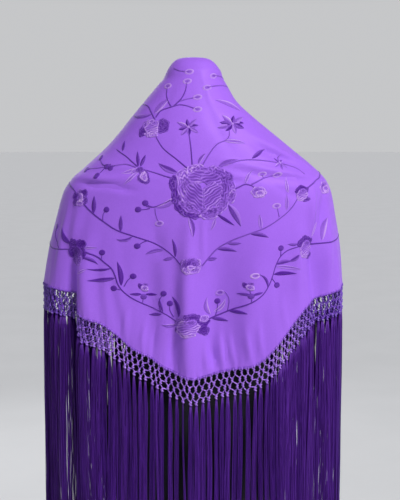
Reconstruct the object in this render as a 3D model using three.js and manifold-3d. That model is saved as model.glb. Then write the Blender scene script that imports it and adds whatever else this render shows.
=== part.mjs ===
// An embroidered triangular shawl with a knotted, fringed edge, draped over a limbless dress form
// on a round stand. Millimetres, +Z up, origin on the floor under the middle of the stand.
// The wearer's back faces -Y, so +X is to the right when the embroidered back is looked at.
import * as THREE from "three";
import Module from "manifold-3d";
import { mergeVertices } from "three/addons/utils/BufferGeometryUtils.js";

const wasm = await Module();
wasm.setup();

// Driving sizes of the cloth, the net and the fringe
const CLOTH_THICKNESS = 2;
const SEAM_GAP = 0.3;
const NECK_EDGE_Z = 1440; // where the long edge crosses the front of the neck
const SHOULDER_Z = 1262; // below this the cloth hangs
const SQUARENESS = 2.25; // exponent of the level sections: 2 is an ellipse
const DEPTH_TURN = 1.6; // turns the folds' outward direction towards the back and the front
const COLUMNS_PER_SIDE = 54; // stations along each short edge of the shawl
const STATION_SEARCH_STEP = 0.25; // degrees
const RISE_WEIGHT = 0.5; // how much of the hem's rise counts when the stations are spaced
const HANGING_ROWS = 9;
const NET_HEIGHT = 42;
const NET_THICKNESS = 2.4; // also that of the strip which holds the strands
const STRIP_HEIGHT = 5; // square to the hem
const STRANDS_PER_SIDE = 80;
const STRAND_LENGTH = 400;
const STRAND_UNEVENNESS = 6;
const STRAND_PHASE = 2.4; // step of the sine that sets each strand's length
const ROOT_COVER = 0.5; // of the strip over the strands' square tops
const STRAND_THICKNESS = 2;
const STRAND_WIDEST = 6.5;
const STRAND_SHARE = 0.6; // of the level distance to the next strand
const STRAND_THINNEST = 2.2;

// Level sections of the cloth's middle surface, from the crown over the neck down to the tails:
// height, then how far it reaches to the left, the right, the back and the front.
const SECTIONS = [
  { z: 1474, left: 0, right: 0, back: 0, front: 0 },
  { z: 1473.7, left: 13, right: 13, back: 13, front: 13 },
  { z: 1471.5, left: 25, right: 25, back: 25, front: 25 },
  { z: 1465, left: 34, right: 34.5, back: 35, front: 34 },
  { z: 1454, left: 41.5, right: 43, back: 43, front: 41 },
  { z: 1440, left: 48, right: 48, back: 49, front: 46 },
  { z: 1430, left: 57, right: 54, back: 54, front: 49 },
  { z: 1404, left: 79, right: 70, back: 65, front: 57 },
  { z: 1379, left: 100, right: 97, back: 76, front: 66 },
  { z: 1353, left: 121, right: 129, back: 86, front: 75 },
  { z: 1327, left: 145, right: 161, back: 94, front: 84 },
  { z: 1301, left: 174, right: 193, back: 101, front: 93 },
  { z: 1281, left: 196, right: 213, back: 106, front: 100 },
  { z: 1262, left: 210, right: 223, back: 109, front: 106 },
  { z: 1223, left: 222, right: 231, back: 112, front: 119 },
  { z: 1170, left: 236, right: 240, back: 114, front: 130 },
  { z: 1103, left: 247, right: 245, back: 115, front: 134 },
  { z: 1040, left: 249, right: 247, back: 115, front: 134 },
  { z: 960, left: 250, right: 248, back: 115, front: 133 },
  { z: 820, left: 250, right: 248, back: 115, front: 132 },
];
const FIRST_HANGING_SECTION = 13; // the row of SECTIONS at SHOULDER_Z
const NECK_EDGE_SECTION = 5; // the row of SECTIONS at NECK_EDGE_Z

// The long edge on the front: half the distance between its two sides, from the neck to the tails.
const FRONT_OPENING = [
  { z: 1440, half: 0 },
  { z: 1430, half: 19 },
  { z: 1404, half: 31 },
  { z: 1353, half: 44 },
  { z: 1262, half: 53 },
  { z: 1143, half: 57 },
  { z: 1040, half: 53 },
  { z: 820, half: 47 },
];

// The knotted edge: height of the hem on the left and on the right, by the angle round the form
// from the middle of the back. On the left the hem steps up at the sharp fold.
const HEM = [
  { angle: 0, left: 976, right: 976 },
  { angle: 3.4, left: 981, right: 980 },
  { angle: 7.5, left: 990, right: 985 },
  { angle: 13.5, left: 1008, right: 990 },
  { angle: 20, left: 1020, right: 995 },
  { angle: 25, left: 1036, right: 1009 },
  { angle: 29, left: 1049, right: 1026 },
  { angle: 33, left: 1059, right: 1044 },
  { angle: 38.5, left: 1066, right: 1065 },
  { angle: 43, left: 1074, right: 1079 },
  { angle: 46.5, left: 1097, right: 1086 },
  { angle: 56, left: 1108, right: 1097 },
  { angle: 71, left: 1111, right: 1105 },
  { angle: 90, left: 1109, right: 1108 },
  { angle: 120, left: 1096, right: 1095 },
  { angle: 135, left: 1079, right: 1078 },
  { angle: 147, left: 1053, right: 1052 },
  { angle: 154, left: 1012, right: 1012 },
  { angle: 159, left: 954, right: 958 },
  { angle: 163, left: 900, right: 906 },
  { angle: 167, left: 862, right: 868 },
  { angle: 171.5, left: 844, right: 850 },
];
const CORNER_ANGLE = HEM[HEM.length - 1].angle;

// Upright folds: angle round the form (left is negative), half width in degrees, depth outwards,
// the height where the fold starts and the height from which it has its full depth.
const BACK_FOLDS = [
  { angle: -62, width: 6, depth: 6, start: 1250, full: 1120 },
  { angle: -49, width: 3.2, depth: -13, start: 1240, full: 1090 },
  { angle: -40, width: 5, depth: 5, start: 1240, full: 1090 },
  { angle: -24, width: 7, depth: -6, start: 1240, full: 1050 },
  { angle: -9, width: 3, depth: 2, start: 1200, full: 1020 },
  { angle: -5, width: 2.6, depth: -4, start: 1230, full: 1020 },
  { angle: 0, width: 3.6, depth: 5, start: 1300, full: 1050 },
  { angle: 12, width: 4, depth: -5, start: 1200, full: 1020 },
  { angle: 31, width: 7, depth: 5, start: 1240, full: 1060 },
  { angle: 53, width: 6, depth: -9, start: 1250, full: 1110 },
  { angle: 68, width: 6, depth: 5, start: 1250, full: 1120 },
];
const SIDE_AND_FRONT_FOLDS = [
  { angle: 96, width: 5, depth: -10, start: 1230, full: 1120 },
  { angle: 108, width: 5, depth: 7, start: 1230, full: 1120 },
  { angle: 121, width: 5, depth: -12, start: 1260, full: 1130 },
  { angle: 134, width: 4.5, depth: 7, start: 1290, full: 1130 },
  { angle: 145, width: 3.2, depth: -10, start: 1300, full: 1130 },
  { angle: 152, width: 2.4, depth: 6, start: 1300, full: 1120 },
  { angle: 158, width: 2.2, depth: -9, start: 1310, full: 1100 },
  { angle: 164, width: 2.2, depth: 6, start: 1310, full: 1100 },
  { angle: 169, width: 1.8, depth: -4, start: 1300, full: 1060 },
];
const FOLDS = [
  ...BACK_FOLDS,
  ...SIDE_AND_FRONT_FOLDS,
  ...SIDE_AND_FRONT_FOLDS.map((fold) => ({ ...fold, angle: -fold.angle })),
];

// Level sections of the dress form, from the top of its neck down to its flat underside.
const FORM_SECTIONS = [
  { z: 1439.7, side: 42, back: 42, front: 42 },
  { z: 1420, side: 44, back: 44, front: 43 },
  { z: 1400, side: 49, back: 47, front: 46 },
  { z: 1385, side: 61, back: 52, front: 50 },
  { z: 1368, side: 80, back: 60, front: 56 },
  { z: 1348, side: 104, back: 69, front: 63 },
  { z: 1328, side: 129, back: 77, front: 71 },
  { z: 1308, side: 154, back: 84, front: 78 },
  { z: 1292, side: 174, back: 89, front: 84 },
  { z: 1276, side: 187, back: 93, front: 90 },
  { z: 1258, side: 192, back: 97, front: 96 },
  { z: 1232, side: 188, back: 99, front: 105 },
  { z: 1205, side: 172, back: 100, front: 115 },
  { z: 1180, side: 158, back: 99, front: 120 },
  { z: 1150, side: 148, back: 96, front: 117 },
  { z: 1105, side: 134, back: 91, front: 106 },
  { z: 1055, side: 120, back: 84, front: 93 },
  { z: 1010, side: 114, back: 81, front: 87 },
  { z: 960, side: 121, back: 84, front: 89 },
  { z: 905, side: 142, back: 92, front: 95 },
  { z: 850, side: 156, back: 97, front: 99 },
  { z: 800, side: 158, back: 97, front: 99 },
  { z: 765, side: 153, back: 93, front: 95 },
  { z: 745, side: 140, back: 83, front: 85 },
];
const FORM_COLUMNS = 32;
const FORM_SQUARENESS = 2.2;

// The neck cap's outline, radius and height, from the axis at its top to the axis at its foot.
const CAP_OUTLINE = [
  [0, 1472.4],
  [12.5, 1472.1],
  [24.2, 1470],
  [32.6, 1463.8],
  [39.6, 1453.4],
  [42.5, 1440],
  [0, 1440],
];
const ROUND_SEGMENTS = 32;
const BASE_RADIUS = 190;
const BASE_RIM_HEIGHT = 7;
const BASE_HEIGHT = 13;
const BASE_CROWN_RADIUS = 60;
const POLE_RADIUS = 12.5;
const COLLAR_RADIUS = 24;
const COLLAR_HEIGHT = 36;
const FLANGE_RADIUS = 48;
const FLANGE_HEIGHT = 12;

const radians = THREE.MathUtils.degToRad;

// Value of one column of a table at a key, on a smooth curve through the rows.
function along(table, key, column, at) {
  const falling = table[0][key] > table[table.length - 1][key];
  const rows = falling ? [...table].reverse() : table;
  const last = rows.length - 1;
  if (at <= rows[0][key]) return rows[0][column];
  if (at >= rows[last][key]) return rows[last][column];
  let i = 0;
  while (rows[i + 1][key] < at) i++;
  const slope = (a, b) => (rows[b][column] - rows[a][column]) / (rows[b][key] - rows[a][key]);
  const span = rows[i + 1][key] - rows[i][key];
  const slopeIn = slope(Math.max(i - 1, 0), i + 1);
  const slopeOut = slope(i, Math.min(i + 2, last));
  const t = (at - rows[i][key]) / span;
  const a = 2 * t ** 3 - 3 * t ** 2 + 1;
  const b = t ** 3 - 2 * t ** 2 + t;
  const c = -2 * t ** 3 + 3 * t ** 2;
  const d = t ** 3 - t ** 2;
  return a * rows[i][column] + b * span * slopeIn + c * rows[i + 1][column] + d * span * slopeOut;
}

// Point of a level section at an angle from the middle of the back; left angles are negative.
function sectionPoint(section, angle, squareness) {
  const sine = Math.sin(radians(angle));
  const cosine = Math.cos(radians(angle));
  const reach = angle < 0 ? section.left : section.right;
  const depth = cosine > 0 ? section.back : section.front;
  const x = Math.sign(sine) * reach * Math.abs(sine) ** (2 / squareness);
  const y = -Math.sign(cosine) * depth * Math.abs(cosine) ** (2 / squareness);
  return new THREE.Vector3(x, y, section.z);
}

function clothSection(z) {
  const hanging = SECTIONS.slice(NECK_EDGE_SECTION);
  const at = (column) => along(hanging, "z", column, z);
  return { z, left: at("left"), right: at("right"), back: at("back"), front: at("front") };
}

// How far the folds push the cloth out at an angle and a height.
function foldDepth(angle, z) {
  let depth = 0;
  for (const fold of FOLDS) {
    const grown = THREE.MathUtils.smoothstep(fold.start - z, 0, fold.start - fold.full);
    depth += fold.depth * grown * Math.exp(-(((angle - fold.angle) / fold.width) ** 2));
  }
  return depth;
}

// A point of the cloth's middle surface, with its folds.
function clothPoint(section, angle) {
  const point = sectionPoint(section, angle, SQUARENESS);
  const outwards = new THREE.Vector3(point.x, point.y * DEPTH_TURN, 0).normalize();
  return point.addScaledVector(outwards, foldDepth(angle, section.z));
}

// Angle of the long edge at a height, from the opening's half width there.
function edgeAngle(section) {
  if (section.z >= NECK_EDGE_Z) return 180;
  const half = along(FRONT_OPENING, "z", "half", section.z);
  const share = half / ((section.left + section.right) / 2);
  return 180 - THREE.MathUtils.radToDeg(Math.asin(share ** (SQUARENESS / 2)));
}

// Point of the hanging cloth on the column of a station, at a height.
function hangingPoint(station, z) {
  const section = clothSection(z);
  return clothPoint(section, (station * edgeAngle(section)) / CORNER_ANGLE);
}

const hemHeight = (station) => along(HEM, "angle", station < 0 ? "left" : "right", Math.abs(station));
const hemPoint = (station) => hangingPoint(station, hemHeight(station));

// Angles of stations set at even steps along one side's hem, from the middle of the back.
function hemStations(side, count) {
  const step = STATION_SEARCH_STEP;
  const marks = [{ length: 0, angle: 0 }];
  let length = 0;
  for (let angle = step; angle <= CORNER_ANGLE; angle += step) {
    const stride = hemPoint(side * angle).sub(hemPoint(side * (angle - step)));
    length += Math.hypot(stride.x, stride.y, RISE_WEIGHT * stride.z);
    marks.push({ length, angle });
  }
  const stations = [];
  for (let k = 0; k <= count; k++) {
    const wanted = (length * k) / count;
    const found = marks.findIndex((mark) => mark.length >= wanted);
    const after = found < 0 ? marks.length - 1 : Math.max(1, found);
    const a = marks[after - 1];
    const b = marks[after];
    stations.push(side * THREE.MathUtils.mapLinear(wanted, a.length, b.length, a.angle, b.angle));
  }
  return stations;
}

// Level outward direction across a line of points.
function levelNormals(line) {
  return line.map((point, i) => {
    const before = line[Math.max(i - 1, 0)];
    const after = line[Math.min(i + 1, line.length - 1)];
    return new THREE.Vector3(after.y - before.y, before.x - after.x, 0).normalize();
  });
}

// A closed wall round a grid of middle points, moved out and in by half the thickness. Rows up to
// weldedRows are full rings, and a first row that is one point closes the top.
function wallGeometry(rows, normals, thickness, weldedRows = -1) {
  const positions = [];
  const numbers = [1, -1].map((sign) =>
    rows.map((row, r) =>
      row.map((point, c) => {
        const out = point.clone().addScaledVector(normals[r][c], (sign * thickness) / 2);
        return positions.push(out.x, out.y, out.z) / 3 - 1;
      }),
    ),
  );
  for (const side of numbers) {
    side.forEach((row, r) => {
      if (r <= weldedRows) row[row.length - 1] = row[0];
    });
  }
  const [outer, inner] = numbers;
  const index = [];
  const lastRow = rows.length - 1;
  for (let r = 0; r < lastRow; r++) {
    const fan = rows[r].length === 1;
    const lastColumn = rows[r + 1].length - 1;
    for (let c = 0; c < lastColumn; c++) {
      const [a, b] = fan ? [0, 0] : [c, c + 1];
      index.push(outer[r][a], outer[r + 1][c], outer[r + 1][c + 1]);
      index.push(inner[r][a], inner[r + 1][c + 1], inner[r + 1][c]);
      if (fan) continue;
      index.push(outer[r][a], outer[r + 1][c + 1], outer[r][b]);
      index.push(inner[r][a], inner[r][b], inner[r + 1][c + 1]);
    }
    if (r < weldedRows) continue;
    const [o, i, oNext, iNext] = [outer[r], inner[r], outer[r + 1], inner[r + 1]];
    index.push(oNext[0], o[0], i[0], oNext[0], i[0], iNext[0]);
    index.push(o[lastColumn], oNext[lastColumn], iNext[lastColumn]);
    index.push(o[lastColumn], iNext[lastColumn], i[lastColumn]);
  }
  const openTop = weldedRows < 0;
  for (let c = 0; c < rows[lastRow].length - 1; c++) {
    const [o, i] = [outer[lastRow], inner[lastRow]];
    index.push(o[c + 1], o[c], i[c], o[c + 1], i[c], i[c + 1]);
    if (openTop) {
      index.push(outer[0][c], outer[0][c + 1], inner[0][c]);
      index.push(outer[0][c + 1], inner[0][c + 1], inner[0][c]);
    }
  }
  return geometryFrom(positions, index);
}

function geometryFrom(positions, index) {
  const geometry = new THREE.BufferGeometry();
  geometry.setAttribute("position", new THREE.Float32BufferAttribute(positions, 3));
  geometry.setIndex(index);
  geometry.computeVertexNormals();
  return geometry;
}

// Outward directions of a grid of points, from its neighbours on the grid.
function gridNormals(rows, weldedRows) {
  return rows.map((row, r) => {
    if (row.length === 1) return [new THREE.Vector3(0, 0, 1)];
    const above = rows[r - 1].length === 1 ? row.map(() => rows[r - 1][0]) : rows[r - 1];
    const below = rows[Math.min(r + 1, rows.length - 1)];
    if (r === rows.length - 1) return levelNormals(row);
    return row.map((point, c) => {
      const last = row.length - 1;
      const ring = r <= weldedRows;
      const before = c > 0 ? row[c - 1] : ring ? row[last - 1] : point;
      const after = c < last ? row[c + 1] : ring ? row[1] : point;
      const across = new THREE.Vector3().subVectors(after, before);
      const down = new THREE.Vector3().subVectors(below[c], above[c]);
      return down.cross(across).normalize();
    });
  });
}

// The whole draped cloth: rings over the neck and shoulders, then hanging rows down to the hem.
function clothGeometry(stations) {
  const rows = [[new THREE.Vector3(0, 0, SECTIONS[0].z)]];
  const ringRow = (section) => {
    const opened = edgeAngle(section) / CORNER_ANGLE;
    return stations.map((angle) => clothPoint(section, angle * opened));
  };
  for (const section of SECTIONS.slice(1, FIRST_HANGING_SECTION + 1)) rows.push(ringRow(section));
  for (let k = 1; k <= HANGING_ROWS; k++) {
    const heightAt = (station) => THREE.MathUtils.lerp(SHOULDER_Z, hemHeight(station), k / HANGING_ROWS);
    rows.push(stations.map((station) => hangingPoint(station, heightAt(station))));
  }
  const normals = gridNormals(rows, NECK_EDGE_SECTION);
  return wallGeometry(rows, normals, CLOTH_THICKNESS, NECK_EDGE_SECTION);
}

// Slope of a line at each of its points, as its length over its level length.
function steepness(line) {
  return line.map((point, i) => {
    const before = line[Math.max(i - 1, 0)];
    const after = line[Math.min(i + 1, line.length - 1)];
    return before.distanceTo(after) / Math.hypot(after.x - before.x, after.y - before.y);
  });
}

// The line moved down by a depth, and by a gap measured square to the line.
function lowered(line, depth, gap) {
  const steep = steepness(line);
  return line.map((point, i) => new THREE.Vector3(point.x, point.y, point.z - depth - gap * steep[i]));
}

// An upright band between two lines of points, one above the other.
function bandGeometry(top, bottom, normals, thickness) {
  return wallGeometry([top, bottom], [normals, normals], thickness);
}

// A bundle of fringe threads: a four-sided prism with its flat side along the hem.
function strandGeometry(foot, tangent, width, length) {
  const geometry = new THREE.BoxGeometry(width, STRAND_THICKNESS, length);
  geometry.rotateZ(Math.atan2(tangent.y, tangent.x));
  geometry.translate(foot.x, foot.y, foot.z - length / 2);
  return geometry;
}

// Closed mesh to solid, and solid to mesh
function toSolid(geometry) {
  const bare = geometry.clone();
  bare.deleteAttribute("normal");
  bare.deleteAttribute("uv");
  const merged = mergeVertices(bare);
  const vertProperties = new Float32Array(merged.attributes.position.array);
  const triVerts = new Uint32Array(merged.index.array);
  return new wasm.Manifold(new wasm.Mesh({ numProp: 3, vertProperties, triVerts }));
}

function fromSolid(solid) {
  const mesh = solid.getMesh();
  return geometryFrom([...mesh.vertProperties], [...mesh.triVerts]);
}

// One side's fringe: a narrow strip under the net with the strands fused to it.
function fringeGeometry(line, normals, side) {
  const stripFoot = lowered(line, 0, STRIP_HEIGHT);
  let solid = toSolid(bandGeometry(line, stripFoot, normals, NET_THICKNESS));
  const strides = line.slice(1).map((point, i) => new THREE.Vector3().subVectors(point, line[i]));
  const length = strides.reduce((sum, stride) => sum + stride.length(), 0);
  const pitch = length / STRANDS_PER_SIDE;
  let i = 0;
  let passed = 0;
  for (let k = 0; k < STRANDS_PER_SIDE; k++) {
    const wanted = (k + 0.5) * pitch;
    while (passed + strides[i].length() < wanted) passed += strides[i++].length();
    const stride = strides[i];
    const foot = line[i].clone().addScaledVector(stride, (wanted - passed) / stride.length());
    const around = strides.slice(Math.max(i - 1, 0), i + 2);
    const slope = Math.max(...around.map((near) => Math.abs(near.z) / Math.hypot(near.x, near.y)));
    const spacing = pitch / Math.hypot(1, slope);
    const width = THREE.MathUtils.clamp(spacing * STRAND_SHARE, STRAND_THINNEST, STRAND_WIDEST);
    const uneven = STRAND_UNEVENNESS * Math.sin(k * STRAND_PHASE + side);
    foot.z -= ROOT_COVER + (width / 2) * slope;
    solid = solid.add(toSolid(strandGeometry(foot, stride, width, STRAND_LENGTH + uneven)));
  }
  return fromSolid(solid);
}

// The dress form's body: closed level sections with flat ends.
function formGeometry() {
  const positions = [];
  const index = [];
  for (const section of FORM_SECTIONS) {
    const sized = { ...section, left: section.side, right: section.side };
    for (let c = 0; c < FORM_COLUMNS; c++) {
      const point = sectionPoint(sized, -180 + (360 * c) / FORM_COLUMNS, FORM_SQUARENESS);
      positions.push(point.x, point.y, point.z);
    }
  }
  const at = (r, c) => r * FORM_COLUMNS + (c % FORM_COLUMNS);
  const last = FORM_SECTIONS.length - 1;
  const top = positions.push(0, 0, FORM_SECTIONS[0].z) / 3 - 1;
  const bottom = positions.push(0, 0, FORM_SECTIONS[last].z) / 3 - 1;
  for (let c = 0; c < FORM_COLUMNS; c++) {
    index.push(top, at(0, c), at(0, c + 1));
    index.push(bottom, at(last, c + 1), at(last, c));
    for (let r = 0; r < last; r++) {
      index.push(at(r, c), at(r + 1, c), at(r + 1, c + 1));
      index.push(at(r, c), at(r + 1, c + 1), at(r, c + 1));
    }
  }
  return geometryFrom(positions, index);
}

// A turned piece from its outline of radius and height points, listed from the top down.
function turnedGeometry(outline) {
  const points = [...outline].reverse().map(([radius, z]) => new THREE.Vector2(radius, z));
  const geometry = new THREE.LatheGeometry(points, ROUND_SEGMENTS);
  geometry.rotateX(Math.PI / 2);
  return geometry;
}

function baseGeometry() {
  return turnedGeometry([
    [0, BASE_HEIGHT],
    [BASE_CROWN_RADIUS, BASE_HEIGHT],
    [BASE_RADIUS - 4, BASE_RIM_HEIGHT],
    [BASE_RADIUS, BASE_RIM_HEIGHT - 3],
    [BASE_RADIUS, 0],
    [0, 0],
  ]);
}

function ringGeometry(inner, outer, bottom, top) {
  return turnedGeometry([
    [inner, top],
    [outer, top],
    [outer, bottom],
    [inner, bottom],
    [inner, top],
  ]);
}

function rodGeometry(radius, bottom, top) {
  return turnedGeometry([
    [0, top],
    [radius, top],
    [radius, bottom],
    [0, bottom],
  ]);
}

const MATERIALS = {
  crepe: new THREE.MeshStandardMaterial({ color: 0x9a5fdc, roughness: 0.6, metalness: 0 }),
  net: new THREE.MeshStandardMaterial({ color: 0x7a4cc0, roughness: 0.5, metalness: 0 }),
  fringe: new THREE.MeshStandardMaterial({ color: 0x4a1f86, roughness: 0.45, metalness: 0 }),
  jersey: new THREE.MeshStandardMaterial({ color: 0x17171f, roughness: 0.9, metalness: 0 }),
  cap: new THREE.MeshStandardMaterial({ color: 0x17171f, roughness: 0.6, metalness: 0 }),
  steel: new THREE.MeshStandardMaterial({ color: 0x2a2a2e, roughness: 0.35, metalness: 1 }),
};

const group = new THREE.Group();
function addPiece(name, geometry, material) {
  const mesh = new THREE.Mesh(geometry, material);
  mesh.name = name;
  group.add(mesh);
}

const leftStations = hemStations(-1, COLUMNS_PER_SIDE);
const rightStations = hemStations(1, COLUMNS_PER_SIDE);
const stations = [...leftStations.slice(1).reverse(), ...rightStations];
addPiece("shawl_cloth", clothGeometry(stations), MATERIALS.crepe);

// The net and the fringe are made in two halves that part at the middle of the back.
const hemLine = stations.map(hemPoint);
const hemNormals = levelNormals(hemLine);
const middle = COLUMNS_PER_SIDE;
const halves = [
  { name: "left", side: -1, first: 0, end: middle + 1, seam: middle },
  { name: "right", side: 1, first: middle, end: stations.length, seam: 0 },
];
for (const { name, side, first, end, seam } of halves) {
  const line = hemLine.slice(first, end).map((point) => point.clone());
  const normals = hemNormals.slice(first, end);
  line[seam].x += (side * SEAM_GAP) / 2;
  const netTop = lowered(line, 0, SEAM_GAP);
  const netFoot = lowered(netTop, NET_HEIGHT, 0);
  const net = bandGeometry(netTop, netFoot, normals, NET_THICKNESS);
  addPiece(`macrame_net_${name}`, net, MATERIALS.net);
  const fringe = fringeGeometry(lowered(netFoot, 0, SEAM_GAP), normals, side);
  addPiece(`fringe_${name}`, fringe, MATERIALS.fringe);
}

const formFoot = FORM_SECTIONS[FORM_SECTIONS.length - 1].z;
const flangeTop = formFoot - SEAM_GAP;
const flangeFoot = flangeTop - FLANGE_HEIGHT;
const standFoot = BASE_HEIGHT + SEAM_GAP;
addPiece("form_body", formGeometry(), MATERIALS.jersey);
addPiece("form_neck_cap", turnedGeometry(CAP_OUTLINE), MATERIALS.cap);
addPiece("stand_flange", rodGeometry(FLANGE_RADIUS, flangeFoot, flangeTop), MATERIALS.steel);
addPiece("stand_pole", rodGeometry(POLE_RADIUS, standFoot, flangeFoot - SEAM_GAP), MATERIALS.steel);
const collarInner = POLE_RADIUS + SEAM_GAP;
const collarTop = standFoot + COLLAR_HEIGHT;
addPiece("stand_collar", ringGeometry(collarInner, COLLAR_RADIUS, standFoot, collarTop), MATERIALS.steel);
addPiece("stand_base", baseGeometry(), MATERIALS.steel);

export default group;
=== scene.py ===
# An embroidered flamenco shawl with a knotted net edge and long fringe, on a dress form.
import math

import bpy
import numpy as np
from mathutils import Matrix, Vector


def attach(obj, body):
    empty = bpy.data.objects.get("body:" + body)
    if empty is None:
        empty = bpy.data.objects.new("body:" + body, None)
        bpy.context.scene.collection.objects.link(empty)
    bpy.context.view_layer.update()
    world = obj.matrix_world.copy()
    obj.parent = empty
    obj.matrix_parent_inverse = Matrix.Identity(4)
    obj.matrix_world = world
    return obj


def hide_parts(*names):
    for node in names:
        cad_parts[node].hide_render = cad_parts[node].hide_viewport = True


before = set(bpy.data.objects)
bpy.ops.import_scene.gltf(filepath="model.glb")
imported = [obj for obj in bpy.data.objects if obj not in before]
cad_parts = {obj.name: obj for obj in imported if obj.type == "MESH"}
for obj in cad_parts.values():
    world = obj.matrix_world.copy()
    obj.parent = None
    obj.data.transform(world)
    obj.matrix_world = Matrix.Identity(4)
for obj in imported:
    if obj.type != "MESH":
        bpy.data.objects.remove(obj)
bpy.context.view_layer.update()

MM = 0.001

# Driving sizes in millimetres, the same as the solids'
SHOULDER_Z = 1262  # below this the cloth hangs
NECK_EDGE_Z = 1440  # where the long edge crosses the front of the neck
SQUARENESS = 2.25
DEPTH_TURN = 1.6
CORNER_ANGLE = 171.5
RISE_WEIGHT = 0.5
NET_HEIGHT = 42
STRANDS_PER_SIDE = 80
STRAND_LENGTH = 400
STRAND_UNEVENNESS = 6
STRAND_PHASE = 2.4
NUDGE = 1e-6  # keeps a place on the middle line to its own side

# The finer cloth, threads and knots
CLOTH_SHELL = 1.0
CLOTH_COLUMNS = 240  # for each side of the middle of the back
INNER_STEP = 3  # rows and columns of the outer surface for each one of the inner
CROWN_ROWS = 20
NECK_ROWS = 4  # closed rows between the crown and the neck edge
NECK_EDGE_ROW = CROWN_ROWS - 2 + NECK_ROWS
RING_ROWS = NECK_EDGE_ROW + 1  # rows whose first and last points are the same
SHOULDER_ROWS = 45
HANGING_ROWS = 79
HEM_RADIUS = 1.3
HEM_SIDES = 6
HEM_TONE = 0.35
PUCKER_HEIGHT = 0.7
PUCKER_REACH = 9  # height over the hem where the net's pull fades
PUCKER_UNEVENNESS = 0.35
NET_LEVELS = (6.5, 17.0, 27.5, 38.0)  # depth of each row of knots below the hem
NET_LEAN = 0.6  # share of the hem's slope that the net's rows follow
NET_STEEPEST = math.radians(32)
LEAN_START = 5  # locks from the middle of the back to where the lean is full
BUNCHED_FROM = {-1: 118, 1: 156}  # the net lies double this far from the middle
BUNCHED_TO = 40  # and to this far in front of it
BUNCH_GAP = 6
NET_PAINTED_SHADE = 0.75  # painted shade: how much darker its cords are painted there and beyond, towards the sides
NET_PAINTED_SHADE_FROM = 125  # and where that starts, and over what distance it grows
NET_PAINTED_SHADE_REACH = 90
NET_SWAY = 1.1  # how far the net's knots lie from their even places
SWAY_ALONG = (2.3, 0.11)  # turns of the sway in radians for each lock and each millimetre down
SWAY_DOWN = (3.9, 0.17)
HEM_STEPS = 1800
SLOPE_REACH = 34  # length over which the hem's slope is evened out
CREASE_BOW = 0.35  # how far a crease bends at its ends, in its half widths
KNOT_STEPS = 8
KNOT_WIDTH = 4.5
KNOT_HEIGHT = 5.8
KNOT_SIZES = (0.85, 1.0, 1.0, 1.15)  # of each row of knots
KNOT_TURNS = ((-0.2, 0.34), (0.22, -0.34))  # height and slant of a knot's two turns of yarn
KNOT_CORE = (0.9, 1.5, 1.5, 0.9)  # radius of a knot's core, from top to bottom
LEG_STEPS = 4
LEG_TWIST = 1.5  # half turns of the two yarns of a leg
LEG_WIDTH = 0.62
LEG_DEPTH = 0.45
YARN_RADIUS = 0.62
KNOT_NARROWING = 0.34  # a lock's width under its knot, as a share of its full width
YARNS_PER_LOCK = 22
YARN_STEPS = 13
YARN_THICKNESS = (0.52, 0.42)  # a fringe yarn's radius at its top and at its end
END_UNEVENNESS = 3.2
LOCK_TURN = 0.9  # how far a lock turns on its way down, in radians
LOCK_DRIFT = 3.2  # how far a lock's end hangs to one side
LOCK_SWING = 1.3
LOCK_WIDTH = 6.8
LOCK_THICKNESS = 2.2
GATHER_LENGTH = 34  # from the knot to where a lock has its full width
STEM_WIDTH = 2.7
STEM_TAPER = 0.35
STEM_SECTION = ((-1, -0.6, 0, 0.6, 1), (-0.3, 0.62, 0.95, 0.62, -0.3))  # places across, lift there
LEAF_GRID = (17, 11)
BUD_GRID = (6, 19)
LEAF_LIFT = 1.05
BUD_LIFT = 1.15
RIDGE_LIFT = 1.1
LIP_LIFT = 0.4
EDGE_SINK = -0.35  # lift of a leaf's or a bud's edge, just under the cloth's surface
BUD_TURN = 8
FULL_BUD = (11, 9.4)
HOLLOW_BUD = (16, 9.5)
FLOWER_CELL = 0.95  # of the grid that a flower is worked out on
SCALLOP_DEPTH = 0.075
STRAIGHT_GRAIN = 20  # ridges that slant more than this end at their flower's middle line
# Painted shade in a flower's grooves and painted highlight on its ridge tops
GROOVE_PAINTED_SHADE = 0.5
RIDGE_PAINTED_HIGHLIGHT = 0.88
STITCH_PITCH = 0.7
WEAVE_PITCH = 0.6
DOWN = np.array([0, 0, -1.0])
KNOT_TURN = np.linspace(0, 2 * math.pi, KNOT_STEPS + 1)[:, None]

# Level sections of the cloth: height, then reach to the left, right, back and front
SECTIONS = [
    (1474, 0, 0, 0, 0), (1473.7, 13, 13, 13, 13), (1471.5, 25, 25, 25, 25),
    (1465, 34, 34.5, 35, 34), (1454, 41.5, 43, 43, 41), (1440, 48, 48, 49, 46),
    (1430, 57, 54, 54, 49), (1404, 79, 70, 65, 57), (1379, 100, 97, 76, 66),
    (1353, 121, 129, 86, 75), (1327, 145, 161, 94, 84), (1301, 174, 193, 101, 93),
    (1281, 196, 213, 106, 100), (1262, 210, 223, 109, 106), (1223, 222, 231, 112, 119),
    (1170, 236, 240, 114, 130), (1103, 247, 245, 115, 134), (1040, 249, 247, 115, 134),
    (960, 250, 248, 115, 133), (820, 250, 248, 115, 132),
]
NECK_EDGE_SECTION = 5
CROWN_SECTIONS = 4  # the sections that close the top

# Height and half width of the opening in front
FRONT_OPENING = [
    (1440, 0), (1430, 19), (1404, 31), (1353, 44), (1262, 53), (1143, 57), (1040, 53), (820, 47),
]

# Angle from the middle of the back, then the hem's height on the left and on the right
HEM = [
    (0, 976, 976), (3.4, 981, 980), (7.5, 990, 985), (13.5, 1008, 990), (20, 1020, 995),
    (25, 1036, 1009), (29, 1049, 1026), (33, 1059, 1044), (38.5, 1066, 1065), (43, 1074, 1079),
    (46.5, 1097, 1086), (56, 1108, 1097), (71, 1111, 1105), (90, 1109, 1108), (120, 1096, 1095),
    (135, 1079, 1078), (147, 1053, 1052), (154, 1012, 1012), (159, 954, 958), (163, 900, 906),
    (167, 862, 868), (171.5, 844, 850),
]

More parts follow.
